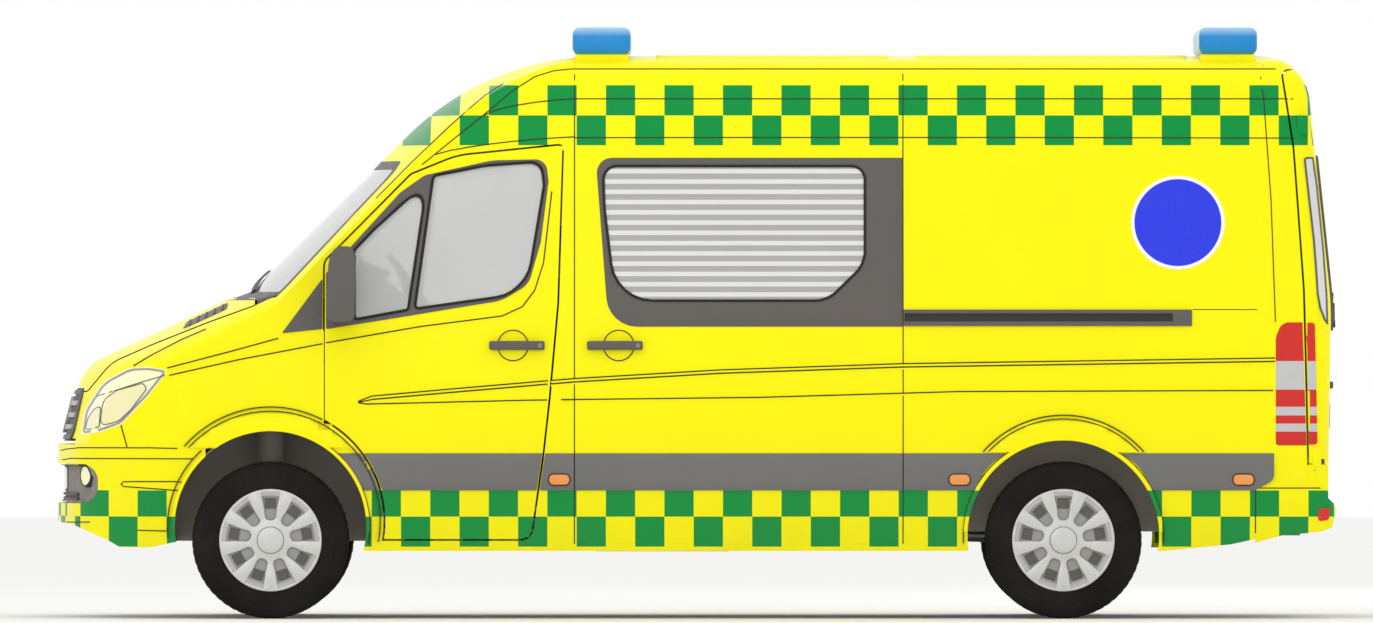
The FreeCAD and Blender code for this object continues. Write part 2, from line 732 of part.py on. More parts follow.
def build_bumpers():
    """Both bumpers, the fog lamps in the front one, and the tail lamps."""
    tail = [(0, -HALF - 34, 0), (0, HALF + 34, 0)]
    nose = nose_corners(tail)
    wall = size("bumper_wall")
    bumper = bumper_block(BUMPER_SIDE, nose, wall)
    fog = side_block(shifted([
        (-1100, 530, 0), (-850, 530, 60), (-813, 640, 60), (-850, 712, 30), (-1100, 712, 0),
    ], front))
    band = front_block(
        [(-860, 530, 40), (860, 530, 40), (860, 712, 40), (-860, 712, 40)], -LENGTH, front(-700))
    recess = plan_block(moved_lines(nose, 38), 0, 1000)
    pocket = fog.common(band).cut(recess)
    lens = plan_block(moved_lines(nose, 28), 0, 1000).cut(recess)
    spot = [(-716, 612, 40), (-624, 612, 40), (-624, 704, 40), (-716, 704, 40)]
    seat = front_block(grown(spot, SEAT), -LENGTH, front(-700)).cut(recess)
    bumper = without(bumper, pocket, seat, mirrored(seat), FRONT_ARCH, FLARE_SIDE)
    add("front_bumper", largest(bumper))
    fog_lamp = largest(lens.common(front_block(spot, -LENGTH, front(-700))))
    add("headlights", *front_lamps, fog_lamp, mirrored(fog_lamp))
    end = rear(1262)
    plan = [
        (0, -HALF - 34, 0), (end, -HALF - 4, 110), (end + 12, 0, 6000), (end, HALF + 4, 110),
        (0, HALF + 34, 0),
    ]
    back = bumper_block(REAR_BUMPER_SIDE, plan, wall)
    hole = post(TAIL_AXIS_X, TAIL_AXIS_Y, BORE, 680, 730)
    add("rear_bumper", largest(without(back, hole, mirrored(hole))))
    lamp = largest(left_of(lamp_zone(0)))
    add("taillights", lamp, mirrored(lamp))


# ---------------------------------------------------------------- wheels

def origin_feature(body, role):
    return [item for item in body.Origin.OriginFeatures if item.Role == role][0]


def turned_profile(body, name, corners):
    """A revolution about the body's Y axis of corners given as two expressions."""
    sketch = body.newObject("Sketcher::SketchObject", name)
    sketch.AttachmentSupport = [(origin_feature(body, "XY_Plane"), "")]
    sketch.MapMode = "FlatFace"
    spots = [Vector(*[float(sheet.evalExpression(text)) for text in corner], 0) for corner in corners]
    count = len(spots)
    for index in range(count):
        sketch.addGeometry(Part.LineSegment(spots[index], spots[(index + 1) % count]), False)
    for index in range(count):
        sketch.addConstraint(Sketcher.Constraint("Coincident", index, 2, (index + 1) % count, 1))
    for index, corner in enumerate(corners):
        for kind, text, value in zip(("DistanceX", "DistanceY"), corner, spots[index]):
            number = sketch.addConstraint(Sketcher.Constraint(kind, -1, 1, index, 1, value))
            sketch.setExpression("Constraints[%d]" % number, text)
    turned = body.newObject("PartDesign::Revolution", name + "_turned")
    turned.Profile = sketch
    turned.ReferenceAxis = (sketch, ["V_Axis"])
    turned.Angle = 360
    sketch.Visibility = False
    return turned


# radius, distance across from the middle of the tread
TYRE_PROFILE = (
    ("sizes.rim_barrel", "-sizes.tyre_width / 2 + 20"),
    ("sizes.rim_radius + 1", "-sizes.tyre_width / 2 + 20"),
    ("sizes.rim_radius + 12", "-sizes.tyre_width / 2 + 5"),
    ("sizes.tyre_radius - 62", "-sizes.tyre_width / 2"),
    ("sizes.tyre_radius - 22", "-sizes.tyre_width / 2 + 12"),
    ("sizes.tyre_radius", "-sizes.tyre_width / 2 + 36"),
    ("sizes.tyre_radius", "sizes.tyre_width / 2 - 36"),
    ("sizes.tyre_radius - 22", "sizes.tyre_width / 2 - 12"),
    ("sizes.tyre_radius - 62", "sizes.tyre_width / 2"),
    ("sizes.rim_radius + 12", "sizes.tyre_width / 2 - 5"),
    ("sizes.rim_radius + 1", "sizes.tyre_width / 2 - 20"),
    ("sizes.rim_barrel", "sizes.tyre_width / 2 - 20"),
)
# the rim's lip, barrel, disc and hub, from the outer face inwards
RIM_PROFILE = (
    ("sizes.stub_radius + sizes.seat_gap", "sizes.tyre_width / 2 - 12"),
    ("sizes.hub_radius", "sizes.tyre_width / 2 - 12"),
    ("sizes.hub_radius + 30", "sizes.tyre_width / 2 - 22"),
    ("sizes.rim_barrel - 24", "sizes.tyre_width / 2 - 24"),
    ("sizes.rim_barrel - 8", "sizes.tyre_width / 2 - 6"),
    ("sizes.rim_radius", "sizes.tyre_width / 2 - 6"),
    ("sizes.rim_radius", "sizes.tyre_width / 2 - 20 + sizes.seat_gap"),
    ("sizes.rim_barrel - sizes.seat_gap", "sizes.tyre_width / 2 - 20 + sizes.seat_gap"),
    ("sizes.rim_barrel - sizes.seat_gap", "-sizes.tyre_width / 2 + 20 - sizes.seat_gap"),
    ("sizes.rim_radius", "-sizes.tyre_width / 2 + 20 - sizes.seat_gap"),
    ("sizes.rim_radius", "-sizes.tyre_width / 2 + 6"),
    ("sizes.rim_barrel - sizes.rim_wall", "-sizes.tyre_width / 2 + 6"),
    ("sizes.rim_barrel - sizes.rim_wall", "sizes.tyre_width / 2 - 50"),
    ("sizes.hub_radius + 20", "sizes.tyre_width / 2 - 50"),
    ("sizes.hub_radius", "sizes.tyre_width / 2 - 70"),
    ("sizes.stub_radius + sizes.seat_gap", "sizes.tyre_width / 2 - 70"),
)
RIM_WINDOWS = 9


def cut_windows(body, name):
    """Round windows through the disc, spaced evenly round the hub."""
    sketch = body.newObject("Sketcher::SketchObject", name + "_window")
    sketch.AttachmentSupport = [(origin_feature(body, "XZ_Plane"), "")]
    sketch.MapMode = "FlatFace"
    ring = (size("rim_barrel") + size("hub_radius")) / 2 + 10
    hole = 26
    sketch.addGeometry(Part.Circle(Vector(0, ring, 0), Vector(0, 0, 1), hole), False)
    sketch.addConstraint(Sketcher.Constraint("PointOnObject", 0, 3, -2))
    number = sketch.addConstraint(Sketcher.Constraint("DistanceY", -1, 1, 0, 3, ring))
    sketch.setExpression("Constraints[%d]" % number, "(sizes.rim_barrel + sizes.hub_radius) / 2 + 10")
    sketch.addConstraint(Sketcher.Constraint("Radius", 0, hole))
    pocket = body.newObject("PartDesign::Pocket", name + "_hole")
    pocket.Profile = sketch
    pocket.Type = "ThroughAll"
    pocket.Midplane = True
    pattern = body.newObject("PartDesign::PolarPattern", name + "_holes")
    pattern.Originals = [pocket]
    pattern.Axis = (origin_feature(body, "Y_Axis"), [""])
    pattern.Angle = 360
    pattern.Occurrences = RIM_WINDOWS
    body.Tip = pattern


WHEELS = (
    # name, X of the axle, side
    ("front_left", FRONT_AXLE, -1), ("front_right", FRONT_AXLE, 1),
    ("rear_left", REAR_AXLE, -1), ("rear_right", REAR_AXLE, 1),
)


def build_wheels():
    for name, x, side in WHEELS:
        turn = FreeCAD.Rotation(Vector(0, 0, 1), 180 if side < 0 else 0)
        place = FreeCAD.Placement(Vector(x, side * WHEEL_Y, TYRE), turn)
        for kind, profile in (("tyre", TYRE_PROFILE), ("rim", RIM_PROFILE)):
            label = "%s_%s" % (kind, name)
            body = doc.addObject("PartDesign::Body", label)
            body.Label = label
            turned_profile(body, label + "_section", profile)
            if kind == "rim":
                cut_windows(body, label)
            body.Placement = place
            pieces[label] = body


# ---------------------------------------------------------------- running gear

RAIL_Y = KINGPIN_Y - 270
RAIL_TOP = size("rail_bottom") + size("rail_height")


def build_underframe():
    """Two rails and their cross members, and the floor that lies on them."""
    inner = RAIL_Y - size("rail_width") / 2
    outer = RAIL_Y + size("rail_width") / 2
    low = size("rail_bottom")
    rail = box(front(-700), rear(1130), -outer, -inner, low, RAIL_TOP)
    frame = rail.fuse(mirrored(rail))
    for x in (front(-700), front(500), front(1380), rear(-700), rear(640), rear(1060)):
        frame = frame.fuse(box(x, x + 70, -inner - 10, inner + 10, low + 20, RAIL_TOP - 20))
    for x in (front(1380), rear(-735), rear(1060)):
        beam = box(x, x + 60, -HALF, HALF, low + 30, RAIL_TOP)
        frame = frame.fuse(beam.common(skin(WALL)))
    add("underframe", frame.removeSplitter())
    inside = skin(WALL)
    load = box(front(1402), rear(1130), -HALF, HALF, RAIL_TOP + SEAT, size("floor_height"))
    filled = HOUSINGS["rear"][1]
    load = largest(without(load.common(inside), filled, mirrored(filled)))
    cab_top = size("cab_floor_height")
    cab = box(front(500), front(1370), -HALF, HALF, RAIL_TOP + SEAT, cab_top)
    toe = box(front(215), front(500), -RAIL_Y + 30, RAIL_Y - 30, RAIL_TOP + SEAT, cab_top)
    cab = cab.fuse(toe).common(inside)
    door_y = HALF - WALL - 32
    for low, high in ((-HALF, -door_y), (door_y, HALF)):
        cab = cab.cut(box(front(size("door_front") - 15), front(1362), low, high, 0, cab_top + 10))
    add("floor", load, largest(cab.removeSplitter()))
    bulk = box(front(195), front(215), -HALF, HALF, RAIL_TOP + SEAT, 1444).common(inside)
    filled = HOUSINGS["front"][1]
    tunnel = box(front(150), front(250), -RAIL_Y + 30, RAIL_Y - 30, 0, cab_top + SEAT)
    bulk = without(bulk, filled, mirrored(filled), tunnel)
    wall = box(front(1372), front(1402), -HALF, HALF, cab_top, ROOF).common(inside)
    window = [(-270, 1450, 60), (270, 1450, 60), (270, 1900, 60), (-270, 1900, 60)]
    wall = wall.cut(front_block(window, front(1300), front(1450)))
    add("bulkheads", largest(bulk), largest(wall))


LINER = 6.0
HOUSINGS = {}
ARCHES = (
    # name, X and Z of the arch, inner face, lower edge, body wall
    ("front", FRONT_AXLE, ARCH_HEIGHT, KINGPIN_Y - 228, 355, size("wing_wall")),
    ("rear", REAR_AXLE, REAR_ARCH_HEIGHT, WHEEL_Y - 150, 400, WALL),
)


def housing(x, z, inner_y, low):
    """A wheel's housing: a half drum inside the arch, closed on its inner side."""
    radius = ARCH_RADIUS + 3
    outer_y = HALF - 45
    trim = box(x - 700, x + 700, -WIDE, 0, low, 1200)
    filled = drum(x, z, radius + LINER, -outer_y, -inner_y).common(trim)
    space = drum(x, z, radius, -outer_y - 1, -inner_y - LINER)
    return filled.cut(space), filled


def build_housings():
    solids = []
    for name, x, z, inner_y, low, depth in ARCHES:
        liner, filled = housing(x, z, inner_y, low)
        HOUSINGS[name] = (liner, filled)
        liner = liner.common(skin(depth))
        if name == "front":
            liner = without(
                liner, post(x, -KINGPIN_Y + 70, 75, 300, 1100),
                box(x - 180, x + 180, -RAIL_Y - 60, 0, 0, 620),
                box(x - 100, x + 100, -KINGPIN_Y + 30, 0, 0, 520), pieces["front_bumper"].Shape,
            )
        else:
            liner = liner.cut(box(x - 120, x + 120, -WHEEL_Y, 0, 0, 560))
        liner = largest(liner)
        solids.extend([liner, mirrored(liner)])
    add("wheel_housings", *solids)


BEAM_TOP = size("rail_bottom") - 70
ENGINE_REAR = front(170)


def build_front_axle():
    """Cross beam, lower arms, struts, and the knuckles that steer the wheels."""
    beam = box(front(-110), front(110), -RAIL_Y - 20, RAIL_Y + 20, BEAM_TOP - 120, BEAM_TOP)
    legs = []
    for side in (-1, 1):
        for x in (-90, 30):
            low_y = side * RAIL_Y - 30
            legs.append(box(front(x), front(x + 60), low_y, low_y + 60, BEAM_TOP, size("rail_bottom")))
    for leg in legs:
        beam = beam.fuse(leg)
    arm_z = 215
    for side in (-1, 1):
        inner = side * (RAIL_Y - 10)
        ball = Vector(front(0), side * KINGPIN_Y, arm_z - 16)
        for x in (-95, 95):
            beam = beam.fuse(rod(Vector(front(x), inner, BEAM_TOP - 120 + 18), ball, 18))
        beam = beam.fuse(Part.makeCylinder(30, 36, Vector(front(0), side * KINGPIN_Y, arm_z - 18)))
    subframe = largest(beam.removeSplitter())
    struts = []
    knuckles = []
    ball_top = arm_z + 18 + SEAT
    knuckle_top = TYRE + 130
    for side in (-1, 1):
        y = side * KINGPIN_Y
        lean_y = side * (KINGPIN_Y - 70)
        post_low = post(front(0), y, 26, ball_top, ball_top + 60)
        tip = Vector(front(0), side * (WHEEL_Y + 100), TYRE)
        hub = rod(Vector(front(0), y, TYRE), tip, size("stub_radius"))
        plate = box(front(-35), front(35), min(y, lean_y), max(y, lean_y), TYRE - 60, knuckle_top)
        neck = box(front(-26), front(26), y - 26, y + 26, ball_top + 30, TYRE + 40)
        knuckle = post_low.fuse(neck).fuse(plate).fuse(hub).removeSplitter()
        knuckles.append(largest(knuckle))
        tower = post(front(0), lean_y, 24, knuckle_top + SEAT, 720)
        spring = post(front(0), lean_y, 62, 720, 930)
        mount = post(front(0), lean_y, 80, 930, 950)
        struts.append(tower.fuse(spring).fuse(mount).Solids[0])
    add("front_suspension", subframe, *struts)
    add("knuckle_left", knuckles[0])
    add("knuckle_right", knuckles[1])


def build_rear_axle():
    tube = drum(REAR_AXLE, TYRE, size("axle_radius"), -WHEEL_Y + 60, WHEEL_Y - 60)
    stub = drum(REAR_AXLE, TYRE, size("stub_radius"), -WHEEL_Y - 100, WHEEL_Y + 100)
    bulge = Part.makeSphere(135, Vector(rear(0), 0, TYRE))
    nose = rod(Vector(rear(-240), 0, TYRE + 10), Vector(rear(0), 0, TYRE), 55)
    axle = tube.fuse(stub).fuse(bulge).fuse(nose)
    add("rear_axle", largest(axle))
    leaf = size("spring_leaf")
    seat = TYRE + size("axle_radius") + SEAT
    top = size("rail_bottom") - SEAT
    springs = []
    for side in (-1, 1):
        low_y = side * RAIL_Y - size("spring_width") / 2
        blade = side_block([
            (rear(-620), top - 30, 0), (rear(-560), top - 30, 0), (rear(-60), seat, 700),
            (rear(60), seat, 700), (rear(560), top - 30, 0), (rear(640), top - 30, 0),
            (rear(640), top, 0), (rear(560), top, 0), (rear(60), seat + leaf, 700),
            (rear(-60), seat + leaf, 700), (rear(-560), top, 0), (rear(-620), top, 0),
        ], low_y, low_y + size("spring_width"))
        springs.append(largest(blade))
    add("leaf_springs", *springs)
    shaft_start = Vector(ENGINE_REAR + 1.2 + SEAT, 0, 495)
    add("prop_shaft", rod(shaft_start, Vector(rear(-240) - SEAT, 0, TYRE + 10), 32))


# ---------------------------------------------------------------- masses below

def bound_box(name, length, width, height, place, radius=12):
    """A rounded box whose sides are read from the sheet by expression."""
    block = doc.addObject("Part::Box", name + "_block")
    block.setExpression("Length", length)
    block.setExpression("Width", width)
    block.setExpression("Height", height)
    doc.recompute()
    block.Placement = FreeCAD.Placement(place, FreeCAD.Rotation())
    rounded = doc.addObject("Part::Fillet", name)
    rounded.Base = block
    rounded.Edges = [(index, radius, radius) for index in range(1, 13)]
    rounded.Label = name
    pieces[name] = rounded


def build_masses():
    """Engine, fuel tank and exhaust."""
    engine_place = Vector(ENGINE_REAR - size("engine_length"), -size("engine_width") / 2, BEAM_TOP + SEAT)
    bound_box("engine_block", "sizes.engine_length", "sizes.engine_width", "sizes.engine_height",
              engine_place)
    top = size("rail_bottom") - SEAT
    tank_place = Vector(front(1500), -RAIL_Y - 90, top - size("tank_height"))
    bound_box("fuel_tank", "sizes.tank_length", "sizes.tank_width", "sizes.tank_height",
              tank_place, 40)
    y = 215
    z = 400
    over_axle = 535
    silencer = Part.makeCylinder(100, 620, Vector(front(1500), y, z), Vector(1, 0, 0))
    riser = post(front(140), y, 24, z, BEAM_TOP)
    pipe = rod(Vector(front(130), y, z), Vector(front(1500), y, z), 28)
    hanger = box(front(1405), front(1425), y - 10, y + 10, z, size("rail_bottom") + 20 - SEAT)
    tail_points = [
        (front(2120), z, 0), (rear(-560), z, 150), (rear(-300), over_axle, 150),
        (rear(300), over_axle, 150), (rear(620), z, 150), (rear(1120), z, 0)]
    spine = outline_wire(tail_points, in_side, closed=False)
    spine.translate(Vector(0, y, 0))
    section = Part.Wire(Part.Circle(Vector(front(2120), y, z), Vector(1, 0, 0), 26).toShape())
    tail = Part.Wire(spine.Edges).makePipeShell([section], True, True)
    add("exhaust", largest(silencer.fuse(pipe).fuse(riser).fuse(hanger).fuse(tail)))


# ---------------------------------------------------------------- the cab

SEAT_Y = 480
WHEEL_CENTRE = Vector(front(660), -SEAT_Y, 1525)
COLUMN_LEAN = 37


def column_direction():
    lean = math.radians(COLUMN_LEAN)
    return Vector(math.cos(lean), 0, math.sin(lean))


def build_cab():
    reach = HALF - WALL - 75
    panel = side_block(shifted([
        (215 + SEAT, 1180, 0), (380, 1180, 40), (560, 1300, 60), (600, 1440, 40), (560, 1540, 50),
        (430, 1610, 60), (330, 1600, 60), (215 + SEAT, 1440, 0)], front), -reach, reach)
    ahead = column_direction()
    shaft_end = WHEEL_CENTRE - ahead * 60
    shroud = rod(WHEEL_CENTRE - ahead * 280, shaft_end, 42)
    bore = rod(WHEEL_CENTRE - ahead * 160, WHEEL_CENTRE, 15.3)
    dash = panel.fuse(shroud).cut(bore)
    add("dashboard", largest(dash.removeSplitter()))
    grip = Part.makeTorus(size("steering_radius"), size("steering_grip"), WHEEL_CENTRE, ahead)
    hub = rod(WHEEL_CENTRE - ahead * 45, WHEEL_CENTRE + ahead * 5, 62)
    shaft = rod(WHEEL_CENTRE - ahead * 150, WHEEL_CENTRE - ahead * 30, 15)
    wheel = grip.fuse(hub).fuse(shaft)
    across = Vector(0, 1, 0)
    up = ahead.cross(across)
    for turn in (0, 120, 240):
        angle = math.radians(turn)
        way = across * math.cos(angle) + up * math.sin(angle)
        spoke = rod(WHEEL_CENTRE - ahead * 20 + way * 40, WHEEL_CENTRE + way * size("steering_radius"), 11)
        wheel = wheel.fuse(spoke)
    add("steering_wheel", largest(wheel))
    floor_top = size("cab_floor_height")
    bases = []
    cushions = []
    for side in (-1, 1):
        middle = side * SEAT_Y
        low = middle - size("seat_width") / 2
        high = middle + size("seat_width") / 2
        base = side_block(shifted([
            (830, floor_top + SEAT, 0), (1250, floor_top + SEAT, 0), (1270, 900, 40),
            (830, 900, 40)], front), low + 60, high - 60)
        bases.append(base)
        cushion = side_block(shifted([
            (790, 900 + SEAT, 30), (1240, 900 + SEAT, 40), (1240, 1020, 50),
            (790, 1040, 60)], front), low, high)
        back = side_block(shifted([
            (1240 + SEAT, 940, 6), (1300, 940, 16), (1368, 1560, 30), (1330, 1640, 36),
            (1262, 1600, 36)], front), low + 15, high - 15)
        rest = side_block(shifted([
            (1300, 1660, 28), (1366, 1660, 28), (1366, 1840, 28), (1300, 1840, 28)],
            front), middle - 130, middle + 130)
        posts = [rod(Vector(front(1335), middle + off, 1600), Vector(front(1335), middle + off, 1661), 7)
                 for off in (-50, 50)]
        rest = rest.fuse(posts[0]).fuse(posts[1])
        cushions.extend([cushion, back.cut(rest), rest])
    add("seat_bases", *bases)
    add("seat_cushions", *cushions)


# ---------------------------------------------------------------- fittings

def build_mirrors():
    """A tall housing carried on an arm from each front door."""
    low, high = 257, 257 + size("mirror_length")
    z_low = 1368
    z_high = z_low + size("mirror_height")
    face = [
        (low, z_low + 20, 30), (low + 40, z_low, 30), (high - 10, z_low, 40), (high, z_high - 60, 160),
        (high - 22, z_high, 30), (low + 44, z_high, 40), (low + 12, z_high - 60, 130),
    ]
    outer = HALF + 217
    head = side_block(shifted(face, front), -outer, -outer + size("mirror_width"))
    arm = side_block(shifted([
        (285, z_low + 40, 10), (345, z_low + 40, 10), (345, z_low + 100, 10), (285, z_low + 100, 10),
    ], front), -outer + 20, -HALF + 60)
    arm = arm.cut(skin(0))
    arm = largest(arm)
    seat_off = Vector(0, -SEAT, 0)
    arm.translate(seat_off)
    mirror = largest(head.fuse(arm))
    add("mirror_left", mirror)
    add("mirror_right", mirrored(mirror))


def build_light_bars():
    low = ROOF - 45
    top = ROOF + size("bar_height")
    bars = []
    roof = skin(0)
    for middle in (front(1530), rear(766)):
        x_low = middle - size("bar_length") / 2
        x_high = middle + size("bar_length") / 2
        bar = side_block([(x_low, low, 0), (x_high, low, 0), (x_high, top, 45), (x_low, top, 45)],
                         -size("bar_width") / 2, size("bar_width") / 2)
        ends = [edge for edge in bar.Edges if edge.BoundBox.YLength < 1 and edge.BoundBox.ZMax > ROOF]
        bar = bar.makeFillet(30, ends)
        bar = largest(bar.cut(roof))
        bar.translate(Vector(0, 0, SEAT))
        bars.append(bar)
    add("light_bars", *bars)


WIPER_LINE = 1512.0


def build_wipers():
    """Two arms that lie along the foot of the windscreen, each on a foot on the cowl."""
    layer = skin(-14).cut(skin(-4))
    body = screen_solid(0)
    above = box(-LENGTH, LENGTH, -WIDE, WIDE, COWL_TOP, ROOF)
    solids = []
    for foot in (-420, 330):
        run = Vector(400, 70, 0).normalize()
        across = Vector(-run.y, run.x, 0) * 9
        start = Vector(foot, WIPER_LINE, 0)
        end = start + run * 520
        corners = [(p.x, p.y, 0) for p in (start - across, end - across, end + across, start + across)]
        arm = largest(front_block(corners, -LENGTH, front(600)).common(layer))
        drop = SCREEN_PLAN - math.sqrt(SCREEN_PLAN ** 2 - foot ** 2)
        low = Vector(front(drop - 152), foot + 12, COWL_TOP - 6)
        high = Vector(front(drop - 112), foot + 12, WIPER_LINE)
        stem = rod(low, high, 10).cut(body).common(above)
        solids.append(largest(arm.fuse(largest(stem))))
    add("wipers", *solids)


# ---------------------------------------------------------------- the document

def main():
    for step in (build_roof, build_sides, build_doors, build_glass, build_front, build_bumpers,
                 build_housings, build_underframe, build_front_axle, build_rear_axle, build_masses,
                 build_cab, build_mirrors, build_light_bars, build_wipers, build_wheels):
        step()
    doc.recompute()
    check_document()
    os.makedirs("parts", exist_ok=True)
    for label, feature in pieces.items():
        feature.Shape.exportStep(os.path.join("parts", label + ".step"))


def check_document():
    """Stop if any object failed or any sub-part is empty or not valid."""
    for item in doc.Objects:
        if any(word in ("Invalid", "Error") for word in item.State):
            raise RuntimeError("%s failed: %s" % (item.Label, item.State))
    for label, feature in pieces.items():
        shape = feature.Shape
        if shape.isNull() or not shape.isValid() or not shape.Solids:
            raise RuntimeError("%s is not a valid solid" % label)


main()
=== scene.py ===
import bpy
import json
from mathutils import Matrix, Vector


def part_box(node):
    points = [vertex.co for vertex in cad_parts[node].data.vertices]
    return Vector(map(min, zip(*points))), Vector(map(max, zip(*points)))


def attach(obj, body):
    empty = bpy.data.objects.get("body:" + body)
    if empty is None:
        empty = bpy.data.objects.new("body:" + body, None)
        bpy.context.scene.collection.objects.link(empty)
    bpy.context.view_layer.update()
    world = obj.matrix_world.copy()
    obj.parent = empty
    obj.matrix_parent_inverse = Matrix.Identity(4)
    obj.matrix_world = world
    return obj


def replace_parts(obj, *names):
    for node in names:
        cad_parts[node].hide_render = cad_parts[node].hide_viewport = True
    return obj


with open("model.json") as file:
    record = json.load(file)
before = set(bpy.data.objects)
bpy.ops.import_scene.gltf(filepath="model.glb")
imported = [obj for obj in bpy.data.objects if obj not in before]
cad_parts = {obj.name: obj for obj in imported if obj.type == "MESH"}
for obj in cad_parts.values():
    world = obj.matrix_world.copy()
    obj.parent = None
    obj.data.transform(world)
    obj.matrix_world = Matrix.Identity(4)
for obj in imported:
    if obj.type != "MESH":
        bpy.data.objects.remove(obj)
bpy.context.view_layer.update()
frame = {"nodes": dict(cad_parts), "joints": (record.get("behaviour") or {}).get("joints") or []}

import json
import math
from collections import namedtuple

import bmesh
import bpy
from mathutils import Matrix, Vector
from mathutils.bvhtree import BVHTree

# A long high-roof ambulance van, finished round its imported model.  Metres,
# +Z up, the nose towards -X, the left side at -Y.

bl_info = {
    "name": "Ambulance van finish",
    "version": (1, 0, 0),
    "blender": (4, 5, 0),
    "location": "View3D > Sidebar > Ambulance",
    "description": "Paints, glazes and trims the ambulance van",
    "category": "Object",
}

NODES = frame["nodes"]
JOINTS = {joint["name"]: joint for joint in frame["joints"]}
FRONT_AXLE, WHEEL_Y, TYRE = (abs(value) * sign for value, sign in zip(
    JOINTS["spin_front_left"]["pos_m"], (-1, 1, 1)))
REAR_AXLE = JOINTS["spin_rear_left"]["pos_m"][0]
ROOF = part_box("roof_panels")[1].z
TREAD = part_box("tyre_front_left")[1].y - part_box("tyre_front_left")[0].y
MM = 0.001


def linear(code):
    """A hexadecimal screen colour as linear red, green and blue."""
    parts = [int(code[i:i + 2], 16) / 255 for i in (0, 2, 4)]
    return [p / 12.92 if p <= 0.04045 else ((p + 0.055) / 1.055) ** 2.4 for p in parts]


def front(*corners):
    """Outline corners (mm behind the front axle, height, radius) in metres."""
    return [(FRONT_AXLE + a * MM, b * MM, r * MM) for a, b, r in corners]


def rear(*corners):
    """Outline corners (mm behind the rear axle, height, radius) in metres."""
    return [(REAR_AXLE + a * MM, b * MM, r * MM) for a, b, r in corners]


def across(*corners):
    """Outline corners (mm to the right of the middle, height, radius) in metres."""
    return [(a * MM, b * MM, r * MM) for a, b, r in corners]


def at_front(points):
    """Points (mm behind the front axle, height) in metres."""
    return [(FRONT_AXLE + a * MM, b * MM) for a, b in points]


def rect(a_low, b_low, a_high, b_high, radius):
    """The outline of a rectangle with rounded corners."""
    return [(a_low, b_low, radius), (a_high, b_low, radius),
            (a_high, b_high, radius), (a_low, b_high, radius)]


# ---------------------------------------------------------------- settings

def colour(name, text, code):
    return bpy.props.FloatVectorProperty(
        name=name, description=text, subtype="COLOR", size=3, min=0, max=1, default=linear(code))


def length(name, text, value):
    return bpy.props.FloatProperty(
        name=name, description=text, default=value, unit="LENGTH", subtype="DISTANCE")


class VanColours(bpy.types.PropertyGroup):
    """Colours of the paint, the trim and the lamps."""
    paint: colour("Paint", "Body colour", "FFF500")
    checks: colour("Checks", "Second colour of the chequered bands", "009240")
    trim: colour("Trim", "Window surrounds, mirrors and rails", "5A5552")
    strip: colour("Rub strip", "Strips along the sides", "6E6D6C")
    emblem: colour("Emblem", "Round sign on the rear quarter", "0A2BE6")
    beacon: colour("Beacon", "Lenses of the light bars", "0091E0")


class VanSizes(bpy.types.PropertyGroup):
    """Sizes of the trim."""
    check: length("Check length", "Length of one check along the side", 0.1353)
    strip_lift: length("Strip height", "How far the rub strips stand out", 0.011)
    flare_lift: length("Flare height", "How far the arch flares stand out", 0.012)
    # this width serves the dark panel seams and also the dark lines of painted shade along creases
    seam_width: length("Seam width", "Width of the dark panel seams", 0.005)
    tread_depth: length("Tread depth", "Depth of the tyre grooves", 0.007)
    room: length("Room", "Reach of the studio floor", 60.0)


def colours():
    return bpy.context.scene.van_colours


def sizes():
    return bpy.context.scene.van_sizes


# ---------------------------------------------------------------- finishes

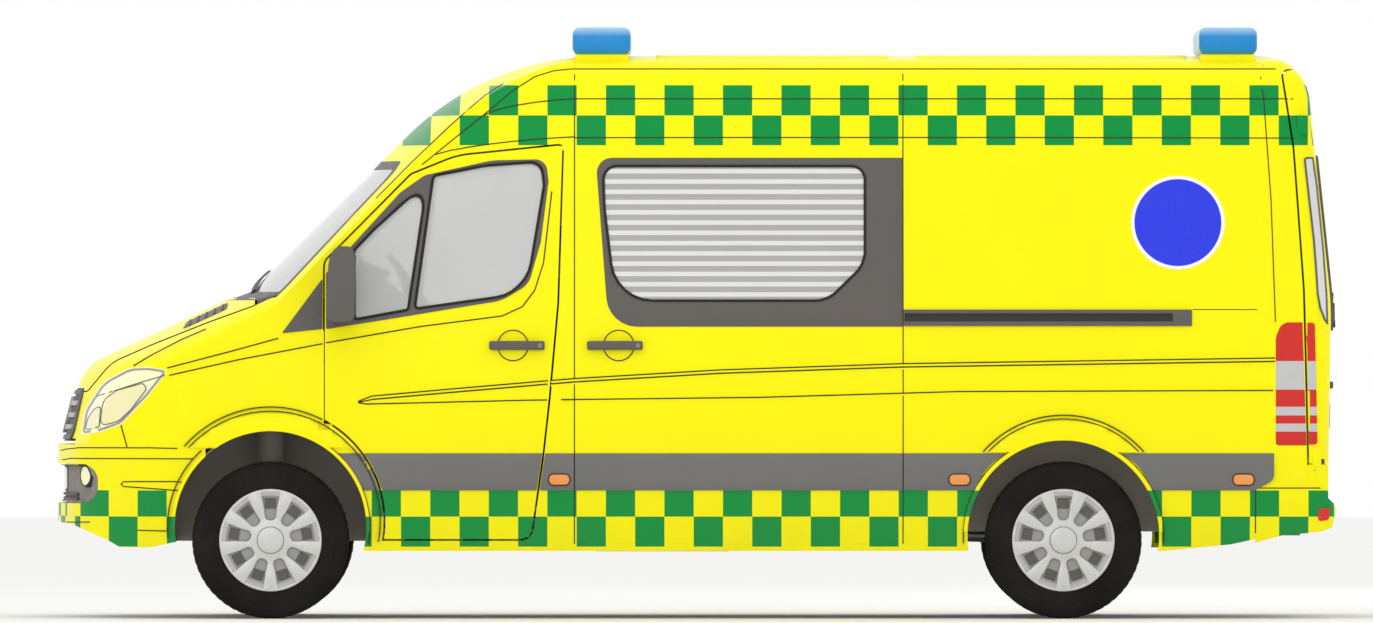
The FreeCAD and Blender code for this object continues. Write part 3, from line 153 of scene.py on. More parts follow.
class Finish:
    """One procedural material, built node by node on object coordinates."""

    def __init__(self, name, rgb, **sockets):
        self.material = bpy.data.materials.new(name)
        self.material.use_nodes = True
        self.tree = self.material.node_tree
        self.shader = self.tree.nodes["Principled BSDF"]
        self.rgb = tuple(rgb)
        self.shader.inputs["Base Color"].default_value = (*rgb, 1)
        for key, value in sockets.items():
            self.shader.inputs[key.replace("_", " ")].default_value = value
        self.place = self.add("ShaderNodeTexCoord").outputs["Object"]

    def add(self, kind, inputs=(), **settings):
        node = self.tree.nodes.new(kind)
        for key, value in settings.items():
            setattr(node, key, value)
        for key, value in dict(inputs).items():
            self.feed(node.inputs[key], value)
        return node

    def feed(self, socket, value):
        if isinstance(value, bpy.types.NodeSocket):
            self.tree.links.new(value, socket)
        else:
            socket.default_value = value

    def calc(self, kind, one, two=0.0):
        return self.add("ShaderNodeMath", {0: one, 1: two}, operation=kind).outputs[0]

    def times(self, one, two):
        return self.calc("MULTIPLY", one, two)

    def over(self, value, limit):
        return self.calc("GREATER_THAN", value, limit)

    def under(self, value, limit):
        return self.calc("LESS_THAN", value, limit)

    def within(self, value, low, high):
        above = self.over(value, low)
        return self.times(above, self.under(value, high))

    def axes(self):
        return self.add("ShaderNodeSeparateXYZ", {0: self.place}).outputs

    def noise(self, scale, detail=3.0):
        inputs = {"Vector": self.place, "Scale": scale, "Detail": detail}
        return self.add("ShaderNodeTexNoise", inputs).outputs[0]

    def mix(self, factor, one, two):
        one, two = [side if isinstance(side, bpy.types.NodeSocket) else (*side, 1) for side in (one, two)]
        return self.add("ShaderNodeMix", {0: factor, 6: one, 7: two}, data_type="RGBA").outputs[2]

    def ramp(self, value, low, high, start=0.0, finish=1.0):
        inputs = {0: value, 1: low, 2: high, 3: start, 4: finish}
        return self.add("ShaderNodeMapRange", inputs).outputs[0]

    def wear(self, scale=3.0, amount=0.08, rough=0.06, base=None):
        """Cloudy changes of shade and gloss."""
        cloud = self.noise(scale, 5.0)
        base = base or self.rgb
        tint = self.ramp(cloud, 0.3, 0.75, 0.0, amount)
        self.feed(self.shader.inputs["Base Color"], self.mix(tint, base, (0.05, 0.045, 0.04)))
        level = self.shader.inputs["Roughness"].default_value
        spots = self.noise(scale * 7, 4.0)
        changed = self.ramp(spots, 0.3, 0.7, max(level - rough, 0.02), level + rough)
        self.feed(self.shader.inputs["Roughness"], changed)
        return self

    def relief(self, height, depth, strength):
        inputs = {"Height": height, "Distance": depth, "Strength": strength}
        self.feed(self.shader.inputs["Normal"], self.add("ShaderNodeBump", inputs).outputs[0])
        return self

    def grain(self, scale, depth, strength=0.4):
        return self.relief(self.noise(scale, 2.0), depth, strength)


# heights of the chequered rows: low, high, phase
CHECK_ROWS = ((0.471, 0.592, 0), (0.332, 0.471, 1), (2.326, 2.466, 0), (2.188, 2.326, 1))
CHECK_START = FRONT_AXLE - 0.885
BUMPER_HALF, BUMPER_TOP = 0.45, 0.7     # the part of the bumpers that faces ahead or back
ROOF_START = 2.0
DIRT = (0.16, 0.13, 0.09)


def livery():
    """Gloss paint with two chequered bands along each side."""
    paint = Finish("livery", colours().paint, Roughness=0.32,
                   Specular_IOR_Level=0.1, Coat_Weight=0.1, Coat_Roughness=0.06)
    x, y, z = paint.axes()
    normal = paint.place.node.outputs["Normal"]
    facing = paint.add("ShaderNodeSeparateXYZ", {0: normal}).outputs
    ahead, aside = [paint.calc("ABSOLUTE", facing[axis]) for axis in (0, 1)]
    # the lower band runs across the bumpers and the upper one right round the roof
    middle = paint.under(paint.calc("ABSOLUTE", y), BUMPER_HALF)
    middle = paint.times(middle, paint.under(z, BUMPER_TOP))
    ends = paint.calc("MAXIMUM", middle, paint.over(x, REAR_AXLE))
    end_on = paint.times(ends, paint.over(ahead, paint.times(aside, 2.0)))
    upper = paint.over(z, ROOF_START)
    side_on = paint.calc("MAXIMUM", paint.over(aside, 0.35), upper)
    along = paint.calc("SUBTRACT", x, CHECK_START)
    along = paint.add("ShaderNodeMix", {0: end_on, 2: along, 3: y}).outputs[0]
    turn = paint.calc("FRACT", paint.calc("DIVIDE", along, 2 * sizes().check))
    first = paint.under(turn, 0.5)
    second = paint.calc("SUBTRACT", 1.0, first)
    green = None
    for low, high, phase in CHECK_ROWS:
        row = paint.times(paint.within(z, low, high), second if phase else first)
        green = row if green is None else paint.calc("ADD", green, row)
    green = paint.times(green, paint.calc("MAXIMUM", side_on, end_on))
    body = paint.mix(green, colours().paint, colours().checks)
    dirt = paint.times(paint.ramp(z, 0.9, 0.3), paint.noise(6.0, 6.0))
    body = paint.mix(paint.times(dirt, 0.16), body, DIRT)
    paint.wear(2.0, 0.03, 0.04, body)
    return paint.grain(900.0, 0.0001, 0.08)


def clear_glass():
    """Glass painted near white, a painted reflection of the bright surroundings, that lets a little of the
    cab show through.
    """
    # the near-white colour of the pane is a painted reflection, not a tint of the glass
    pane = Finish("clear_glass", linear("F6F6F6"), Roughness=0.05, Transmission_Weight=0.6, IOR=1.45)
    return pane.wear(1.5, 0.05, 0.02)


STRIPE_START, STRIPE_STEP, STRIPE_SHARE = 1.4607, 0.04748, 0.565


def striped_glass():
    """Frosted glass with level stripes."""
    pane = Finish("striped_glass", linear("DDDDDD"), Roughness=0.2, IOR=1.45)
    z = pane.axes()[2]
    turn = pane.calc("FRACT", pane.calc("DIVIDE", pane.calc("SUBTRACT", z, STRIPE_START), STRIPE_STEP))
    band = pane.mix(pane.under(turn, STRIPE_SHARE), linear("E2E2E2"), linear("ABAAA8"))
    return pane.wear(4.0, 0.04, 0.04, band)


def tail_lens():
    """Red over grey over red, with two grey bars in the lower part."""
    lens = Finish("tail_lens", linear("DA251D"), Roughness=0.2, Specular_IOR_Level=0.3, Coat_Weight=0.2)
    z = lens.axes()[2]
    pale = lens.within(z, 1.058, 1.190)
    for low, high in ((0.939, 0.979), (0.864, 0.901)):
        pale = lens.calc("ADD", pale, lens.within(z, low, high))
    rib = lens.calc("SINE", lens.times(z, 900.0))
    lens.wear(9.0, 0.06, 0.04, lens.mix(pale, linear("D42019"), linear("C6C6C6")))
    return lens.relief(rib, 0.0008, 0.3)


def beacon_lens():
    """Blue lens with upright flutes and a painted highlight towards its top."""
    lens = Finish("beacon_lens", colours().beacon, Roughness=0.1, Transmission_Weight=0.1, IOR=1.45)
    x, y, z = lens.axes()
    # painted highlight: the lens turns pale blue towards its top, in place of light on the dome
    pale = lens.ramp(z, ROOF + 0.085, ROOF + 0.125, 0.0, 0.75)
    lens.wear(12.0, 0.1, 0.03, lens.mix(pale, colours().beacon, linear("BFE4FA")))
    flute = lens.calc("SINE", lens.times(lens.calc("ADD", x, y), 420.0))
    return lens.relief(flute, 0.001, 0.35)


def seat_cloth():
    """Woven seat cover."""
    cover = Finish("seat_cloth", linear("3B3E47"), Roughness=0.85, Sheen_Weight=0.3)
    x, y, z = cover.axes()
    threads = [cover.calc("SINE", cover.times(run, 1800.0)) for run in (y, cover.calc("ADD", x, z))]
    weave = cover.times(*threads)
    fleck = cover.mix(cover.ramp(weave, -0.4, 0.8), linear("2E3038"), linear("555A68"))
    cover.wear(8.0, 0.15, 0.05, fleck)
    return cover.relief(weave, 0.0008, 0.5)


FINISHES = {}


def mix_finishes():
    """All the finishes, by the name that the pieces ask for."""
    plain = (
        # name, colour, roughness, metallic, clear coat, shade changes, grain scale, grain depth
        ("trim", colours().trim, 0.5, 0, 0, 0.10, 700, 0.0005),
        ("strip", colours().strip, 0.55, 0, 0, 0.10, 500, 0.0006),
        ("black", linear("1B1A19"), 0.5, 0, 0, 0.10, 500, 0.0005),
        # the seam finish serves the real panel seams and also the dark lines of painted shade along creases,
        # arches, bumper lines and handle bowls
        ("seam", linear("231F14"), 0.7, 0, 0, 0.10, 500, 0.0002),
        ("rubber", linear("151414"), 0.8, 0, 0, 0.15, 300, 0.0006),
        ("rim", linear("CFCFCE"), 0.3, 0.35, 0, 0.06, 600, 0.0001),
        ("rim_pocket", linear("B9B8B6"), 0.4, 0.3, 0, 0.12, 500, 0.0002),
        ("steel", linear("8A8B8E"), 0.35, 0.9, 0, 0.15, 300, 0.0003),
        # the arch liner's grey is painted light: much lighter than the liner itself so that the arches, deep
        # in shade, come out mid grey
        ("arch_liner", linear("A09A93"), 0.85, 0, 0, 0.2, 220, 0.001),
        ("cast", linear("3A3A3C"), 0.7, 0.6, 0, 0.3, 180, 0.0012),
        ("chassis", linear("26262A"), 0.5, 0, 0, 0.25, 90, 0.0008),
        ("liner", linear("86817B"), 0.85, 0, 0, 0.2, 220, 0.001),
        ("cabin", linear("3C3C40"), 0.6, 0, 0, 0.1, 800, 0.0006),
        ("vinyl", linear("6D7178"), 0.5, 0, 0, 0.2, 500, 0.0005),
        ("panel", linear("D8DADA"), 0.4, 0, 0, 0.06, 300, 0.0002),
        ("plate", linear("F2F2EC"), 0.3, 0, 0, 0.05, 400, 0.0001),
        ("grey_bar", linear("9B9A98"), 0.35, 0, 0, 0.06, 400, 0.0002),
        ("emblem", colours().emblem, 0.3, 0, 0, 0.05, 500, 0.0001),
        ("white", linear("F6F6F4"), 0.3, 0, 0, 0.04, 500, 0.0001),
        ("orange", linear("F29A4A"), 0.15, 0, 0, 0.08, 900, 0.0003),
        ("red", linear("D42019"), 0.15, 0, 0, 0.08, 900, 0.0003),
        ("cream", linear("FFFBC8"), 0.1, 0, 0.8, 0.03, 600, 0.0001),
        # a darker copy of the lamp cream, painted shade for the recessed reflector bowls of the headlights
        ("cream_dark", linear("F5EEB4"), 0.12, 0, 0.8, 0.05, 600, 0.0001),
        ("mirror", linear("C9D2D8"), 0.03, 1, 0, 0.02, 300, 0.00001),
    )
    for name, rgb, rough, metallic, coat, shade, scale, depth in plain:
        made = Finish(name, rgb, Roughness=rough, Metallic=metallic, Coat_Weight=coat)
        FINISHES[name] = made.wear(4.0, shade).grain(scale, depth).material
    tyre = Finish("tyre", linear("14110F"), Roughness=0.9, Specular_IOR_Level=0.2)
    special = {
        "tyre": tyre.wear(4.0, 0.25).grain(260.0, 0.0008), "livery": livery(), "glass": clear_glass(),
        "striped": striped_glass(), "tail": tail_lens(), "beacon": beacon_lens(), "cloth": seat_cloth(),
    }
    FINISHES.update((name, made.material) for name, made in special.items())


# ---------------------------------------------------------------- shaping

Circle = namedtuple("Circle", "a b radius")
VIEWS = {
    # direction that a view looks in, and its two axes
    "left": (Vector((0, 1, 0)), 0, 2),
    "nose": (Vector((1, 0, 0)), 1, 2),
    "tail": (Vector((-1, 0, 0)), 1, 2),
    "top": (Vector((0, 0, -1)), 0, 1),
    "dash": (Vector((-1, 0, 0)), 1, 2),
}
SKIN_NODES = (
    "body_side_left", "body_side_right", "front_door_left", "front_door_right", "sliding_doors",
    "sliding_door_glass", "front_door_glass_left", "front_door_glass_right", "roof_panels",
    "front_wings", "hood", "cowl", "windscreen", "front_bumper", "rear_bumper", "taillights",
    "rear_door_left", "rear_door_right", "rear_door_glass_left", "rear_door_glass_right",
    "headlights", "grille",
)
NOSE_NODES = ("front_bumper", "grille", "headlights", "front_wings", "hood")
BUMPER_AND_LAMPS = ("front_bumper", "headlights")
REAR_DOORS = ("rear_door_left", "rear_door_right")
DOOR = "door_front_left"
REAR_DOOR = "door_rear_left"
TREES = {}
SEAM_REACH = 0.008      # a seam up to twice this wide is bridged
SEAM_DROP = 0.006       # how deep a dip has to be to count as a seam
START = 5.0             # distance of each view's start from the origin
CIRCLE_STEPS = 72
BEND_SHARE = 0.48       # most of a side that one rounded corner may take
OFF_EDGE_SHARE = 0.4
HAIR = 1e-6


def spot(view, a, b, depth=0.0):
    """A point in space from a view's two measures and its depth past the middle."""
    way, one, two = VIEWS[view]
    place = way * depth
    place[one] = a
    place[two] = b
    return place


def tree_of(names):
    """The surface of some CAD nodes, made ready for casting rays."""
    if names not in TREES:
        bm = bmesh.new()
        for name in names:
            bm.from_mesh(NODES[name].data)
        TREES[names] = BVHTree.FromBMesh(bm)
        bm.free()
    return TREES[names]


def cast(tree, view, a, b):
    return tree.ray_cast(spot(view, a, b, -START), VIEWS[view][0])[3]


def depth_at(tree, view, a, b):
    """How far the surface lies from the view's start, bridging narrow seams."""
    centre = cast(tree, view, a, b)
    pairs = []
    for da, db in ((SEAM_REACH, 0), (0, SEAM_REACH)):
        one = cast(tree, view, a + da, b + db)
        two = cast(tree, view, a - da, b - db)
        if one is not None and two is not None:
            pairs.append((one + two) / 2)
    if pairs and (centre is None or centre - min(pairs) > SEAM_DROP):
        centre = min(pairs)
    return centre


def move(bm, shift):
    bmesh.ops.translate(bm, vec=shift, verts=bm.verts[:])
    return bm


def round_off(bm, geom, offset, segments, affect="EDGES"):
    bmesh.ops.bevel(bm, geom=geom, offset=offset, segments=segments, profile=0.5, affect=affect,
                    material=-1, clamp_overlap=affect == "EDGES")


def extruded(bm, kind):
    """Extrude every face and return the new vertices or faces."""
    made = bmesh.ops.extrude_face_region(bm, geom=bm.faces[:], use_keep_orig=True)
    return [item for item in made["geom"] if isinstance(item, kind)]


def add_outline(bm, corners, view):
    """The edges of one rounded outline, or of a circle."""
    if isinstance(corners, Circle):
        made = bmesh.ops.create_circle(bm, radius=corners.radius, segments=CIRCLE_STEPS, cap_ends=False)
        for vert in made["verts"]:
            vert.co = spot(view, corners.a + vert.co.x, corners.b + vert.co.y)
        return
    verts = [bm.verts.new(spot(view, a, b)) for a, b, radius in corners]
    bm.faces.new(verts)
    spots = [vert.co.copy() for vert in verts]
    for index, (a, b, radius) in enumerate(corners):
        if radius > 0:
            back = spots[index - 1] - spots[index]
            ahead = spots[(index + 1) % len(spots)] - spots[index]
            most = BEND_SHARE * min(back.length, ahead.length)
            reach = min(radius / math.tan(back.angle(ahead) / 2), most)
            round_off(bm, [verts[index]], reach, 6, "VERTICES")
    bmesh.ops.delete(bm, geom=bm.faces[:], context="FACES_KEEP_BOUNDARY")


def cut(bm, place, normal, **clear):
    geom = bm.verts[:] + bm.edges[:] + bm.faces[:]
    bmesh.ops.bisect_plane(bm, geom=geom, dist=HAIR, plane_co=place, plane_no=normal, **clear)


def filled(view, outline, holes):
    """A flat sheet with its holes."""
    bm = bmesh.new()
    for corners in (outline, *holes):
        add_outline(bm, corners, view)
    bmesh.ops.triangle_fill(bm, use_beauty=True, edges=bm.edges[:], normal=-VIEWS[view][0])
    return bm


def sheet_of(view, outline, holes, cell, keep):
    """A flat sheet, cut into cells so that it can follow a curve, and trimmed by planes."""
    bm = filled(view, outline, holes)
    for axis in VIEWS[view][1:]:
        low = min(vert.co[axis] for vert in bm.verts)
        high = max(vert.co[axis] for vert in bm.verts)
        steps = max(1, math.ceil((high - low) / cell))
        for step in range(1, steps):
            place, normal = Vector((0, 0, 0)), Vector((0, 0, 0))
            place[axis] = low + (high - low) * step / steps
            normal[axis] = 1
            cut(bm, place, normal)
    for place, normal in keep:
        cut(bm, place, normal, clear_outer=True)
    return bm


def thicken(bm, view, lift, sink, edge):
    """Give a sheet that lies on a surface its thickness and round its rim."""
    way, one, two = VIEWS[view]
    old = bm.verts[:]
    tops = set(extruded(bm, bmesh.types.BMFace))
    new = set(vert for face in tops for vert in face.verts)
    for vert in new:
        vert.co -= way * (lift(vert.co[one], vert.co[two]) if callable(lift) else lift)
    for vert in old:
        vert.co += way * sink
    bmesh.ops.recalc_face_normals(bm, faces=bm.faces[:])
    if edge:
        rim = [item for item in bm.edges if len([f for f in item.link_faces if f in tops]) == 1]
        round_off(bm, rim, edge, 2)


def plate(view, outline, lift=0.003, sink=0.002, holes=(), cell=0.06, edge=0.001, keep=(),
          nodes=SKIN_NODES):
    """A piece of sheet laid on the body, as a bmesh."""
    bm = sheet_of(view, outline, holes, cell, keep)
    one, two = VIEWS[view][1:]
    tree = tree_of(nodes)
    off_edge = []
    for vert in bm.verts:
        a, b = vert.co[one], vert.co[two]
        found = depth_at(tree, view, a, b)
        if found is None:
            off_edge.append(vert)
        else:
            vert.co = spot(view, a, b, found - START)
    if len(off_edge) > OFF_EDGE_SHARE * len(bm.verts):
        raise RuntimeError("no surface under the %s outline at %s" % (view, outline[0]))
    bmesh.ops.delete(bm, geom=off_edge, context="VERTS")
    thicken(bm, view, lift, sink, edge)
    return bm


def slab(view, outline, low, high, edge=0.004, segments=3, holes=()):
    """A rounded outline pulled straight from one depth to another."""
    bm = filled(view, outline, holes)
    shift = Vector([0 if axis in VIEWS[view][1:] else 1 for axis in range(3)])
    move(bm, shift * low)
    bmesh.ops.translate(bm, vec=shift * (high - low), verts=extruded(bm, bmesh.types.BMVert))
    bmesh.ops.recalc_face_normals(bm, faces=bm.faces[:])
    if edge:
        corner = math.radians(50)
        rims = [item for item in bm.edges if len(item.link_faces) == 2 and item.calc_face_angle(0) > corner]
        round_off(bm, rims, edge, segments)
    return bm


def block(low, high, edge=0.01, segments=3):
    """A box from corner to corner with rounded edges."""
    bm = bmesh.new()
    bmesh.ops.create_cube(bm, size=1)
    low, high = Vector(low), Vector(high)
    bmesh.ops.scale(bm, vec=high - low, verts=bm.verts[:])
    move(bm, (low + high) / 2)
    round_off(bm, bm.edges[:], edge, segments)
    return bm


def turned(profile, centre=(0, 0, 0), steps=64, axis=(0, 1, 0), closed=True):
    """A closed (radius, along) profile spun round an axis through centre."""
    bm = bmesh.new()
    axis = Vector(axis).normalized()
    side = axis.orthogonal().normalized()
    verts = [bm.verts.new(side * radius + axis * along) for radius, along in profile]
    edges = [bm.edges.new(ends) for ends in zip(verts, verts[1:])]
    if closed:
        edges.append(bm.edges.new((verts[-1], verts[0])))
    bmesh.ops.spin(bm, geom=verts + edges, cent=(0, 0, 0), axis=axis, dvec=(0, 0, 0),
                   angle=2 * math.pi, steps=steps, use_merge=True, use_duplicate=False)
    bmesh.ops.remove_doubles(bm, verts=bm.verts[:], dist=HAIR)
    bmesh.ops.recalc_face_normals(bm, faces=bm.faces[:])
    return move(bm, centre)


def bar(start, finish, radius, segments=16):
    """A round bar from point to point."""
    start, finish = Vector(start), Vector(finish)
    run = finish - start
    turn = run.to_track_quat("Z", "Y").to_matrix().to_4x4()
    bm = bmesh.new()
    bmesh.ops.create_cone(bm, cap_ends=True, cap_tris=False, segments=segments, radius1=radius,
                          radius2=radius, depth=run.length,
                          matrix=Matrix.Translation((start + finish) / 2) @ turn)
    return bm


def joined(*parts):
    """Several bmeshes as one."""
    whole = bmesh.new()
    for part in parts:
        mesh = bpy.data.meshes.new("part")
        part.to_mesh(mesh)
        part.free()
        whole.from_mesh(mesh)
        bpy.data.meshes.remove(mesh)
    return whole


def other_side(bm):
    """The same piece on the right-hand side."""
    copy = bm.copy()
    bmesh.ops.scale(copy, vec=(1, -1, 1), verts=copy.verts[:])
    bmesh.ops.reverse_faces(copy, faces=copy.faces[:])
    return copy


def piece(name, bm, finish, body="body", slot=None, sharp=32):
    """Turn a bmesh into a finished piece that rides on a body."""
    mesh = bpy.data.meshes.new(name)
    bm.to_mesh(mesh)
    bm.free()
    mesh.shade_smooth()
    mesh.set_sharp_from_angle(angle=math.radians(sharp))
    made = bpy.data.objects.new(name, mesh)
    bpy.context.scene.collection.objects.link(made)
    mesh.materials.append(FINISHES[finish])
    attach(made, body)
    return made


def pair(name, bm, finish, body="body", slot=None):
    """The same piece on both sides, each riding on its own side's body."""
    twin = other_side(bm)
    left = piece(name + "_left", bm, finish, body, slot)
    right = piece(name + "_right", twin, finish, body.replace("left", "right"), slot)
    return left, right


def lay(make, name, finish, view, outline, *shape, body="body", slot=None, **more):
    """Lay a sheet on the body as one piece or, with make as pair, on both sides."""
    return make(name, plate(view, outline, *shape, **more), finish, body, slot)


# ---------------------------------------------------------------- outlines

# panes, each seen square on, and the ends of the sliding door behind the front axle
QUARTER_PANE = front((391, 1384, 14), (634, 1429, 14), (721, 2017, 48), (479, 1796, 40), (382, 1695, 50))
DOOR_PANE = front((669, 1434, 14), (1179, 1506, 185), (1262, 2000, 0),
                  (1250, 2110, 70), (995, 2092, 300), (754, 2045, 24))
SLIDER_PANE = front((1597, 1471, 189), (2573, 1471, 130), (2746, 1640, 130),
                    (2746, 2090, 60), (1539, 2090, 60), (1545, 1900, 600))
SCREEN_PANE = across((-880, 1484, 40), (880, 1484, 40), (745, 2104, 90), (-745, 2104, 90))
REAR_PANE = across((-790, 1349, 70), (-75, 1349, 60), (-75, 2120, 60), (-745, 2120, 90))
SLIDER_FRONT = 1405
SLIDER_REAR = 2924


def grown(corners, margin):
    """An outline with every side moved outwards; corners run anticlockwise."""
    spots = [Vector((a, b)) for a, b, radius in corners]
    result = []
    for index, (a, b, radius) in enumerate(corners):
        into = (spots[index] - spots[index - 1]).normalized()
        out = (spots[(index + 1) % len(spots)] - spots[index]).normalized()
        middle = (into + out).normalized()
        outward = Vector((middle.y, -middle.x))
        spread = outward.dot(Vector((into.y, -into.x)))
        corner = spots[index] + outward * (margin / spread)
        result.append((corner.x, corner.y, max(radius + margin, 0.002)))
    return result


def ribbon(points, width):
    """The outline of a narrow band along a line."""
    spots = [Vector(point) for point in points]
    upper, lower = [], []
    for index, middle in enumerate(spots):
        run = (spots[min(index + 1, len(spots) - 1)] - spots[max(index - 1, 0)]).normalized()
        side = Vector((-run.y, run.x)) * width / 2
        upper.append(middle + side)
        lower.append(middle - side)
    return [(point.x, point.y, 0) for point in lower + upper[::-1]]


def line(points, width, lift=0.0012, view="left", cell=0.08):
    return plate(view, ribbon(points, width), lift, 0.001, cell=cell, edge=0)


# ---------------------------------------------------------------- operators

class Builder(bpy.types.Operator):
    """Shared by the operators below: run the building function and stop on any error."""
    bl_options = {"REGISTER"}

    def execute(self, context):
        self.build()
        return {"FINISHED"}


# finish of each CAD node that stays as it is
NODE_FINISHES = {
    "livery": """roof_panels body_side_left body_side_right front_door_left front_door_right sliding_doors
        rear_door_left rear_door_right hood front_wings front_bumper rear_bumper""",
    "glass": """front_door_glass_left front_door_glass_right windscreen rear_door_glass_left
        rear_door_glass_right""",
    "striped": "sliding_door_glass", "black": "cowl grille wipers", "cream": "headlights",
    "tail": "taillights", "arch_liner": "wheel_housings", "chassis": "underframe", "vinyl": "floor",
    "panel": "bulkheads", "liner": "front_suspension fuel_tank",
    "cast": "knuckle_left knuckle_right rear_axle engine_block",
    "steel": "leaf_springs prop_shaft exhaust", "cabin": "dashboard seat_bases",
    "rubber": "steering_wheel", "cloth": "seat_cushions", "trim": "mirror_left mirror_right",
    "beacon": "light_bars", "rim_pocket": "rim_front_left rim_front_right rim_rear_left rim_rear_right",
    "tyre": "tyre_front_left tyre_front_right tyre_rear_left tyre_rear_right",
}


class VAN_OT_finishes(Builder):
    """Mix the paints, glass and plastics and put them on the CAD panels"""
    bl_idname = "van.finishes"
    bl_label = "Paint and glaze"

    def build(self):
        mix_finishes()
        finish_of = {node: FINISHES[name] for name, nodes in NODE_FINISHES.items() for node in nodes.split()}
        for name, node in NODES.items():
            if node.material_slots:
                for holder in node.material_slots:
                    holder.material = finish_of[name]
            else:
                node.data.materials.append(finish_of[name])


class VAN_OT_window_trim(Builder):
    """Dark surrounds and rubber seals round the glass"""
    bl_idname = "van.window_trim"
    bl_label = "Window surrounds"

    def build(self):
        door_frame = front(
            (257, 1337, 8), (599, 1392, 300), (881, 1439, 0), (1070, 1469, 200), (1193, 1545, 90),
            (1249, 1738, 0), (1285, 2021, 0), (1273, 2124, 70), (1023, 2118, 300), (712, 2049, 60),
            (599, 1969, 60), (368, 1716, 60), (257, 1596, 10))
        lay(pair, "door_window_surround", "trim", "left", door_frame, 0.0025, body=DOOR,
            holes=(QUARTER_PANE, DOOR_PANE))
        for name, pane in (("quarter", QUARTER_PANE), ("door", DOOR_PANE)):
            lay(pair, name + "_pane_seal", "rubber", "left", grown(pane, 0.009), 0.0045, body=DOOR,
                holes=(grown(pane, -0.004),), edge=0.0015)
        sail = front((52, 1318, 4), (240, 1338, 4), (240, 1572, 4))
        lay(pair, "mirror_sail", "trim", "left", sail)
        slider_frame = front((1563, 1349, 140), (2921, 1349, 0), (2921, 2130, 0), (1503, 2130, 70))
        lay(pair, "slider_window_surround", "trim", "left", slider_frame, 0.0025, holes=(SLIDER_PANE,))
        lay(pair, "slider_pane_seal", "rubber", "left", grown(SLIDER_PANE, 0.008), 0.0045,
            holes=(grown(SLIDER_PANE, -0.004),), edge=0.0015)
        rear_frame = across((-858, 1330, 40), (-53, 1330, 60), (-53, 2142, 60), (-800, 2142, 60))
        lay(pair, "rear_window_surround", "trim", "tail", rear_frame, 0.012, body=REAR_DOOR,
            holes=(REAR_PANE,), edge=0.003, cell=0.03)
        corner = rear((1226, 1352, 4), (1222, 1500, 0), (1208, 1700, 0), (1179, 2000, 0), (1160, 2134, 4),
                      (1112, 2134, 16), (1136, 1918, 0), (1155, 1750, 0), (1167, 1584, 0), (1172, 1500, 0),
                      (1184, 1433, 30), (1206, 1378, 10))
        on_door = {"body": REAR_DOOR, "cell": 0.02, "nodes": ("rear_door_left",)}
        lay(pair, "rear_corner_seal", "trim", "left", corner, 0.004, holes=(grown(corner, -0.009),),
            **on_door)
        lay(pair, "rear_corner_pane", "panel", "left", grown(corner, -0.008), **on_door)
        lay(piece, "windscreen_border", "trim", "nose", grown(SCREEN_PANE, 0.012), 0.002,
            holes=(grown(SCREEN_PANE, -0.026),), cell=0.05)


# dark seams between panels: distance behind the front axle and height
SIDE_SEAMS = (
    ((SLIDER_FRONT, 345), (SLIDER_FRONT, 1300), (SLIDER_FRONT, 2223), (SLIDER_FRONT, 2500),
     (SLIDER_FRONT, 2572)),
    ((SLIDER_REAR, 345), (SLIDER_REAR, 1300), (SLIDER_REAR, 2223), (SLIDER_REAR, 2500), (SLIDER_REAR, 2575)),
    ((1402, 2223), (2200, 2224), (3400, 2224), (4790, 2221)),
    ((1402, 2403), (1800, 2403), (3200, 2403), (4730, 2403)),
    ((1390, 2542), (2000, 2542), (3200, 2542), (4650, 2542)),
    ((4593, 2560), (4580, 2500), (4593, 2405), (4626, 1934), (4645, 1370)),
    ((4553, 395), (4553, 603)),
    ((4560, 603), (4912, 603)),
)
# dark lines of painted shade along the creases that sweep from the roof down to the windscreen pillar
ROOF_CREASE_SHADES = (
    ((1075, 2476), (991, 2420), (907, 2349), (824, 2274), (655, 2113), (487, 1943)),
    ((1390, 2542), (1310, 2534), (1223, 2507), (1118, 2440), (981, 2325), (907, 2266), (803, 2182),
     (700, 2098)),
    ((1402, 2403), (1310, 2397), (1223, 2387), (1118, 2370), (1040, 2350), (981, 2325)),
    ((1402, 2227), (1260, 2219), (1118, 2206), (1000, 2192), (908, 2178), (829, 2164), (760, 2145)),
)
# pressed lines of the side, each with a dark line of painted shade along its crease, split where the doors
# end: body, points
SWAGES = (
    (DOOR, ((1347, 2186), (1358, 2170))),
    (DOOR, ((405, 1003), (469, 1028), (816, 1059), (1283, 1099))),
    (DOOR, ((410, 1000), (469, 1012), (816, 1043), (1281, 1083))),
    (DOOR, ((405, 998), (445, 991), (1188, 1009), (1279, 1010))),
    ("body", ((1297, 1100), (1405, 1109), (2078, 1149), (2921, 1178), (4642, 1204))),
    ("body", ((1296, 1084), (1405, 1093), (2078, 1133), (2921, 1162), (4642, 1188))),
    ("body", ((1294, 1011), (2262, 1022), (3181, 1049), (4634, 1054))),
    ("body", ((-467, 1124), (-147, 1196), (241, 1270))),
    (DOOR, ((258, 1274), (691, 1349), (1070, 1398), (1164, 1441), (1221, 1516), (1262, 1644), (1300, 1974))),
    ("body", ((-476, 1158), (-200, 1230), (37, 1295))),
    ("body", ((-635, 1168), (-560, 1213), (-417, 1288), (-300, 1338))),
    ("body", ((-693, 893), (-664, 792))),
)


def arc(axle, height, radius, start, finish, steps=28):
    """Points on part of a circle round an axle: angles in degrees from straight back."""
    points = []
    for step in range(steps + 1):
        turn = math.radians(start + (finish - start) * step / steps)
        points.append((axle + radius * math.cos(turn) * MM, (height + radius * math.sin(turn)) * MM))
    return points


